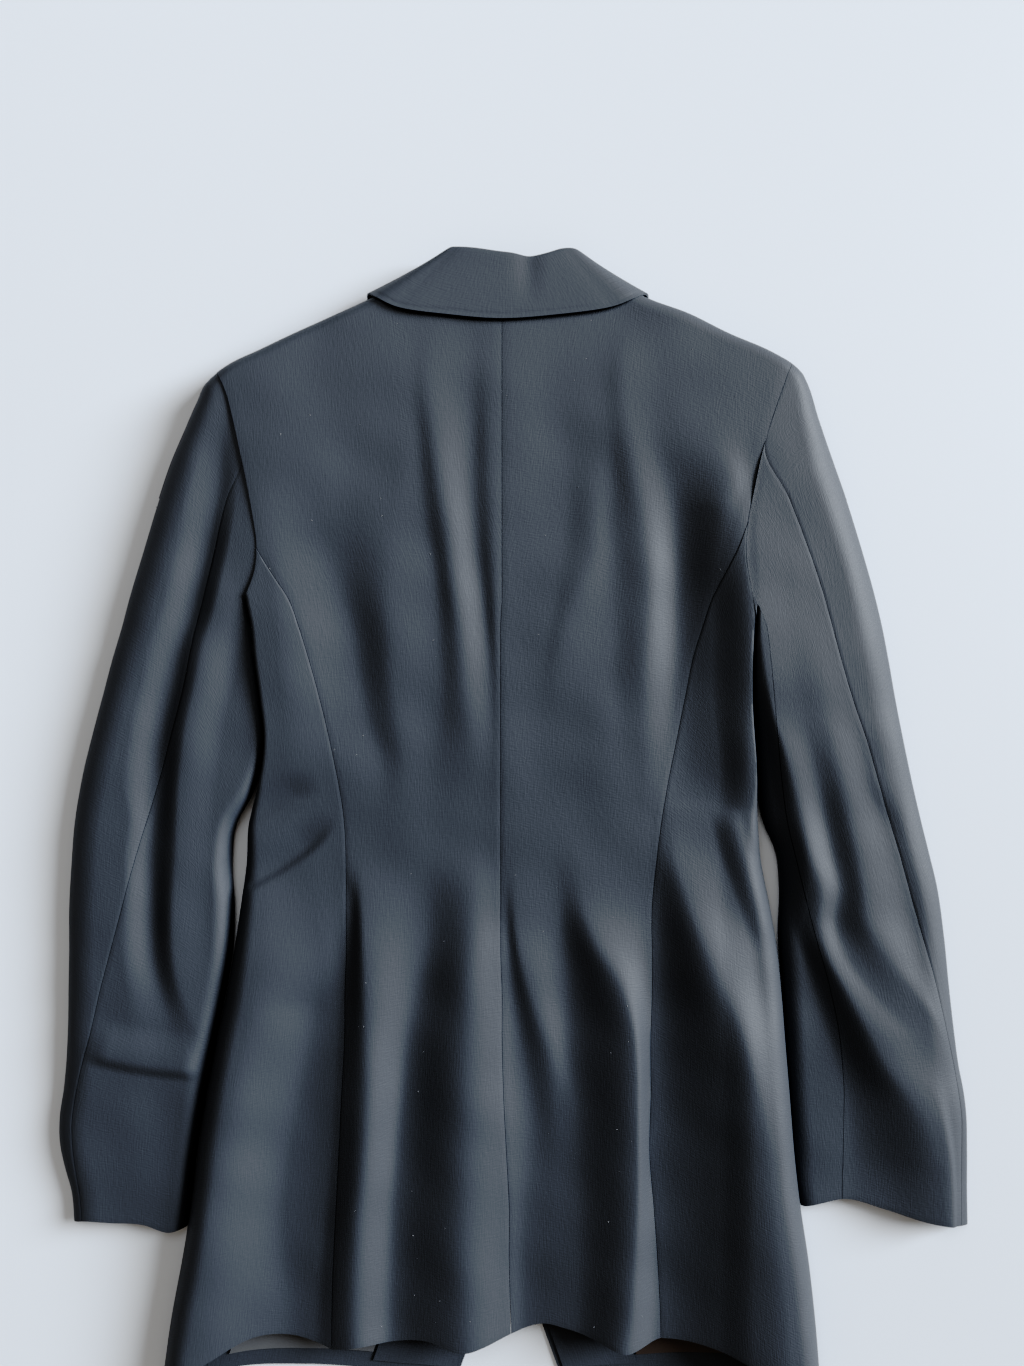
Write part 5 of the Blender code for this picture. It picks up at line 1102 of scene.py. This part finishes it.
# The fall has a soft crease beside the middle, and a line of stitches pressed in along its edge.
UPPER_SIDE = 15
CREASE_X, CREASE_WIDTH, CREASE_DOWN, CREASE_IN = 9.5, 8, 1.2, 1.5
CREASE_LOW, CREASE_REACH = 362, 30
STITCH_DEEP, STITCH_INSET, STITCH_WIDTH = 0.3, 3.0, 1.1
crease = np.exp(-(((middle[..., 0] - CREASE_X) / CREASE_WIDTH) ** 2))
crease = crease * np.clip((middle[..., 1] - CREASE_LOW) / CREASE_REACH, 0, 1)
crease *= middle[..., 2] > UPPER_SIDE
middle[..., 2] -= CREASE_DOWN * crease
middle[..., 1] -= CREASE_IN * crease
from_edge = np.linalg.norm(middle - middle[:, -1:], axis=2)
stitches = STITCH_DEEP * np.exp(-(((from_edge - STITCH_INSET) / STITCH_WIDTH) ** 2))
middle[..., 2] -= stitches * (middle[..., 2] > UPPER_SIDE)
normal = np.cross(np.gradient(middle, axis=0), np.gradient(middle, axis=1))
normal /= np.maximum(np.linalg.norm(normal, axis=2), 1e-9)[..., None]
faces = [middle + normal * CLOTH / 2, middle - normal * CLOTH / 2]
for face in faces:
    face[..., 2] = np.maximum(face[..., 2], 0)
collar = cloth_shell("collar_cloth", *faces)
lay(collar, "collar", wool)

# ------------------------------------------------------------------ The lint
# Short pale fibres that have settled on the worn wool of the back, each a curl about a millimetre long. They
# lie loose on the cloth, where it faces upwards.
fluff = bpy.data.materials.new("pale lint")
fluff.use_nodes = True
fluff.node_tree.nodes["Principled BSDF"].inputs["Base Color"].default_value = (0.46, 0.46, 0.48, 1)
fluff.node_tree.nodes["Principled BSDF"].inputs["Roughness"].default_value = 0.9
LINT_DENSITY = 420.0
LINT_LENGTH, LINT_THICKNESS = 0.0008, 0.00007
LINT_SEED = {"left": 3, "right": 11}
FACING_UP = 0.7  # least height of the cloth's normal under a fibre
CURL = (("Start", (-0.5, 0, 0.0625)), ("Middle", (0, 0.625, 0.25)), ("End", (0.5, -0.125, 0.0625)))
scatter = bpy.data.node_groups.new("scattered lint", "GeometryNodeTree")
scatter.interface.new_socket("Cloth", in_out="INPUT", socket_type="NodeSocketGeometry")
density_in = scatter.interface.new_socket("Density", in_out="INPUT", socket_type="NodeSocketFloat")
length_in = scatter.interface.new_socket("Length", in_out="INPUT", socket_type="NodeSocketFloat")
thickness_in = scatter.interface.new_socket("Thickness", in_out="INPUT", socket_type="NodeSocketFloat")
seed_in = scatter.interface.new_socket("Seed", in_out="INPUT", socket_type="NodeSocketInt")
scatter.interface.new_socket("Lint", in_out="OUTPUT", socket_type="NodeSocketGeometry")
given = scatter.nodes.new("NodeGroupInput")
made = scatter.nodes.new("NodeGroupOutput")
facing = scatter.nodes.new("GeometryNodeInputNormal")
parts = scatter.nodes.new("ShaderNodeSeparateXYZ")
upwards = scatter.nodes.new("FunctionNodeCompare")
upwards.inputs["B"].default_value = FACING_UP
spots = scatter.nodes.new("GeometryNodeDistributePointsOnFaces")
curl = scatter.nodes.new("GeometryNodeCurveQuadraticBezier")
curl.inputs["Resolution"].default_value = 5
for name, place in CURL:
    curl.inputs[name].default_value = place
sized = scatter.nodes.new("GeometryNodeTransform")
thick = scatter.nodes.new("GeometryNodeCurvePrimitiveCircle")
thick.inputs["Resolution"].default_value = 5
fibre = scatter.nodes.new("GeometryNodeCurveToMesh")
turn = scatter.nodes.new("FunctionNodeRandomValue")
turn.data_type = "FLOAT_VECTOR"
turn.inputs["Min"].default_value = (-0.2, -0.2, 0)
turn.inputs["Max"].default_value = (0.2, 0.2, 6.28)
size = scatter.nodes.new("FunctionNodeRandomValue")
size.data_type = "FLOAT_VECTOR"
size.inputs["Min"].default_value = (0.25, 0.25, 0.8)
size.inputs["Max"].default_value = (1.5, 1.1, 1.6)
placed = scatter.nodes.new("GeometryNodeInstanceOnPoints")
plain = scatter.nodes.new("GeometryNodeRealizeInstances")
finish = scatter.nodes.new("GeometryNodeSetMaterial")
finish.inputs["Material"].default_value = fluff
for start, end in (
    (given.outputs["Cloth"], spots.inputs["Mesh"]), (given.outputs["Density"], spots.inputs["Density"]),
    (given.outputs["Seed"], spots.inputs["Seed"]), (facing.outputs["Normal"], parts.inputs[0]),
    (parts.outputs["Z"], upwards.inputs["A"]), (upwards.outputs["Result"], spots.inputs["Selection"]),
    (curl.outputs["Curve"], sized.inputs["Geometry"]), (given.outputs["Length"], sized.inputs["Scale"]),
    (given.outputs["Thickness"], thick.inputs["Radius"]), (sized.outputs["Geometry"], fibre.inputs["Curve"]),
    (thick.outputs["Curve"], fibre.inputs["Profile Curve"]),
    (spots.outputs["Points"], placed.inputs["Points"]), (fibre.outputs["Mesh"], placed.inputs["Instance"]),
    (given.outputs["Seed"], turn.inputs["Seed"]), (given.outputs["Seed"], size.inputs["Seed"]),
    (turn.outputs["Value"], placed.inputs["Rotation"]), (size.outputs["Value"], placed.inputs["Scale"]),
    (placed.outputs["Instances"], plain.inputs["Geometry"]),
    (plain.outputs["Geometry"], finish.inputs["Geometry"]), (finish.outputs["Geometry"], made.inputs["Lint"]),
):
    scatter.links.new(start, end)
for side, seed in LINT_SEED.items():
    cloth = bpy.data.objects[f"back_{side}_cloth"]
    shed = cloth.modifiers.new("lint", "NODES")
    shed.node_group = scatter
    shed[density_in.identifier] = LINT_DENSITY
    shed[length_in.identifier] = LINT_LENGTH
    shed[thickness_in.identifier] = LINT_THICKNESS
    shed[seed_in.identifier] = seed
    bpy.context.view_layer.update()
    evaluated = cloth.evaluated_get(bpy.context.evaluated_depsgraph_get())
    mesh = bpy.data.meshes.new_from_object(evaluated)
    cloth.modifiers.remove(shed)
    lint = bpy.data.objects.new(f"back_{side}_lint", mesh)
    bpy.context.scene.collection.objects.link(lint)
    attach(lint, "root")
    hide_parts(f"back_{side}")

# -------------------------------------------------- The facing and the linings
# Strips on the fronts' inner faces at the hem, which show below the back: the facing of the wool, then the
# lining, of grey satin on the left and brown on the right, each sewn on edge to edge.
SATIN = {"rough": 0.36, "pitch": 0.0004, "strength": 0.25, "distance": 0.00004}
grey = cloth_material("grey satin", (0.05, 0.052, 0.056), (0.115, 0.118, 0.124), **SATIN)
brown = cloth_material("brown satin", (0.035, 0.028, 0.026), (0.06, 0.048, 0.043), **SATIN)
LINING = 1.0  # its wall
STRIP_COLUMNS, STRIP_ROWS, STRIP_INSET = 44, 30, 4
# Each strip: its front, how far in from the front's edge, height over the hem at its low and its high edge.
STRIPS = {
    "facing_left": ("left", (4, 65), (6, 70), wool, "black_wool"),
    "facing_right": ("right", (4, 58), (6, 70), wool, "black_wool"),
    "lining_left": ("left", (67, 170), (12, 76), grey, "grey_lining"),
    "lining_right": ("right", (60, 132), (12, 76), brown, "brown_lining"),
}
for node, (side, reach, heights, material, slot) in STRIPS.items():
    inset = np.linspace(*reach, STRIP_COLUMNS)
    rows = np.linspace(0, 1, STRIP_ROWS)
    low_x = through(FRONT_LINES[side], FRONT_EDGE[-1][0]) + OUT[side] * inset
    y = through(FRONT_HEM[side], low_x) + (heights[0] + (heights[1] - heights[0]) * rows)[:, None]
    x = through(FRONT_LINES[side], y.reshape(-1)).reshape(y.shape) + OUT[side] * np.maximum(inset, STRIP_INSET)
    flat = np.stack([x, y], 2)
    raised = lifted_front(flat.reshape(-1, 2), side).reshape(y.shape) + CLOTH + SEAM_GAP
    base = np.dstack([flat, raised])
    strip = cloth_shell(f"{node}_cloth", base, base + (0, 0, LINING))
    lay(strip, node, material)

# ---------------------------------------------------------------- The button
# One button at the waist, turned from black horn with a raised rim. It is sewn to the front and lies under it,
# so it can't be seen.
horn = bpy.data.materials.new("black horn")
horn.use_nodes = True
horn.node_tree.nodes["Principled BSDF"].inputs["Base Color"].default_value = (0.01, 0.01, 0.011, 1)
horn.node_tree.nodes["Principled BSDF"].inputs["Roughness"].default_value = 0.3
around = np.linspace(0, 2 * np.pi, 48, endpoint=False)
# Radius and height of its profile, from the underside round the rim to the sunk face.
PROFILE = ((9.0, 0.0), (9.7, 0.2), (BUTTON_RADIUS, 0.8), (BUTTON_RADIUS, 2.2), (9.7, 2.8), (9.0, 3.0),
           (8.2, 2.9), (7.6, 2.5))
ring = np.stack([np.cos(around), np.sin(around)], 1)
verts = [(BUTTON_AT[0] + r * c, BUTTON_AT[1] + r * s, z) for r, z in PROFILE for c, s in ring]
n, levels = len(around), len(PROFILE)
quads = [(row * n + k, row * n + (k + 1) % n, (row + 1) * n + (k + 1) % n, (row + 1) * n + k)
         for row in range(levels - 1) for k in range(n)]
quads += [tuple(range(n - 1, -1, -1)), tuple(range((levels - 1) * n, levels * n))]
mesh = bpy.data.meshes.new("button_horn")
mesh.from_pydata([tuple((np.array(v) - MIDDLE) * MM) for v in verts], [], quads)
button = bpy.data.objects.new("button_horn", mesh)
bpy.context.scene.collection.objects.link(button)
lay(button, "button", horn)

# ------------------------------------------------- The surface and the daylight
# The blazer lies on a smooth pale board. Daylight comes low from a window at the right, with a soft sky beyond
# its collar, and the camera looks straight down on its back.
board = bpy.data.materials.new("pale board")
board.use_nodes = True
board.node_tree.nodes["Principled BSDF"].inputs["Base Color"].default_value = (0.6, 0.62, 0.65, 1)
board.node_tree.nodes["Principled BSDF"].inputs["Roughness"].default_value = 0.6
half = 1.6
mesh = bpy.data.meshes.new("floor")
mesh.from_pydata([(-half, -half, 0), (half, -half, 0), (half, half, 0), (-half, half, 0)], [], [(0, 1, 2, 3)])
floor = bpy.data.objects.new("floor", mesh)
floor.data.materials.append(board)
bpy.context.scene.collection.objects.link(floor)


def lamp(name, kind, place, power, colour):
    """A light that shines from a place towards the blazer's middle."""
    light = bpy.data.lights.new(name, kind)
    light.energy = power
    light.color = colour
    made = bpy.data.objects.new(name, light)
    made.location = place
    made.rotation_euler = Vector(place).to_track_quat("Z", "Y").to_euler()
    bpy.context.scene.collection.objects.link(made)
    return light


lamp("window", "SUN", (5.2, 1.9, 2.45), 6.6, (0.86, 0.93, 1.0)).angle = 0.5
sky = lamp("sky", "AREA", (-0.3, 1.5, 2.2), 13, (0.9, 0.95, 1.0))
sky.shape = "RECTANGLE"
sky.size, sky.size_y = 1.4, 0.9
world = bpy.data.worlds.new("room")
world.use_nodes = True
world.node_tree.nodes["Background"].inputs["Color"].default_value = (1.0, 0.91, 0.8, 1)
world.node_tree.nodes["Background"].inputs["Strength"].default_value = 0.27
bpy.context.scene.world = world

camera = bpy.data.cameras.new("camera")
camera.lens = 28.5
camera.sensor_width = 36
camera.sensor_fit = "AUTO"
camera.dof.use_dof = False
camera.clip_start = 0.01
eye = bpy.data.objects.new("camera", camera)
eye.location = (-0.001, 0.0987, 0.78)
bpy.context.scene.collection.objects.link(eye)
bpy.context.scene.camera = eye
# The tone curve lets deep shadows fall off to black: value given, value shown.
TONES = ((0.015, 0.001), (0.03, 0.006), (0.05, 0.022), (0.075, 0.062), (0.1, 0.11), (0.3, 0.36), (0.6, 0.62))
look = bpy.context.scene.view_settings
look.view_transform = "Standard"
look.use_curve_mapping = True
tone = look.curve_mapping.curves[3]
for value, shown in TONES:
    tone.points.new(value, shown)
look.curve_mapping.update()
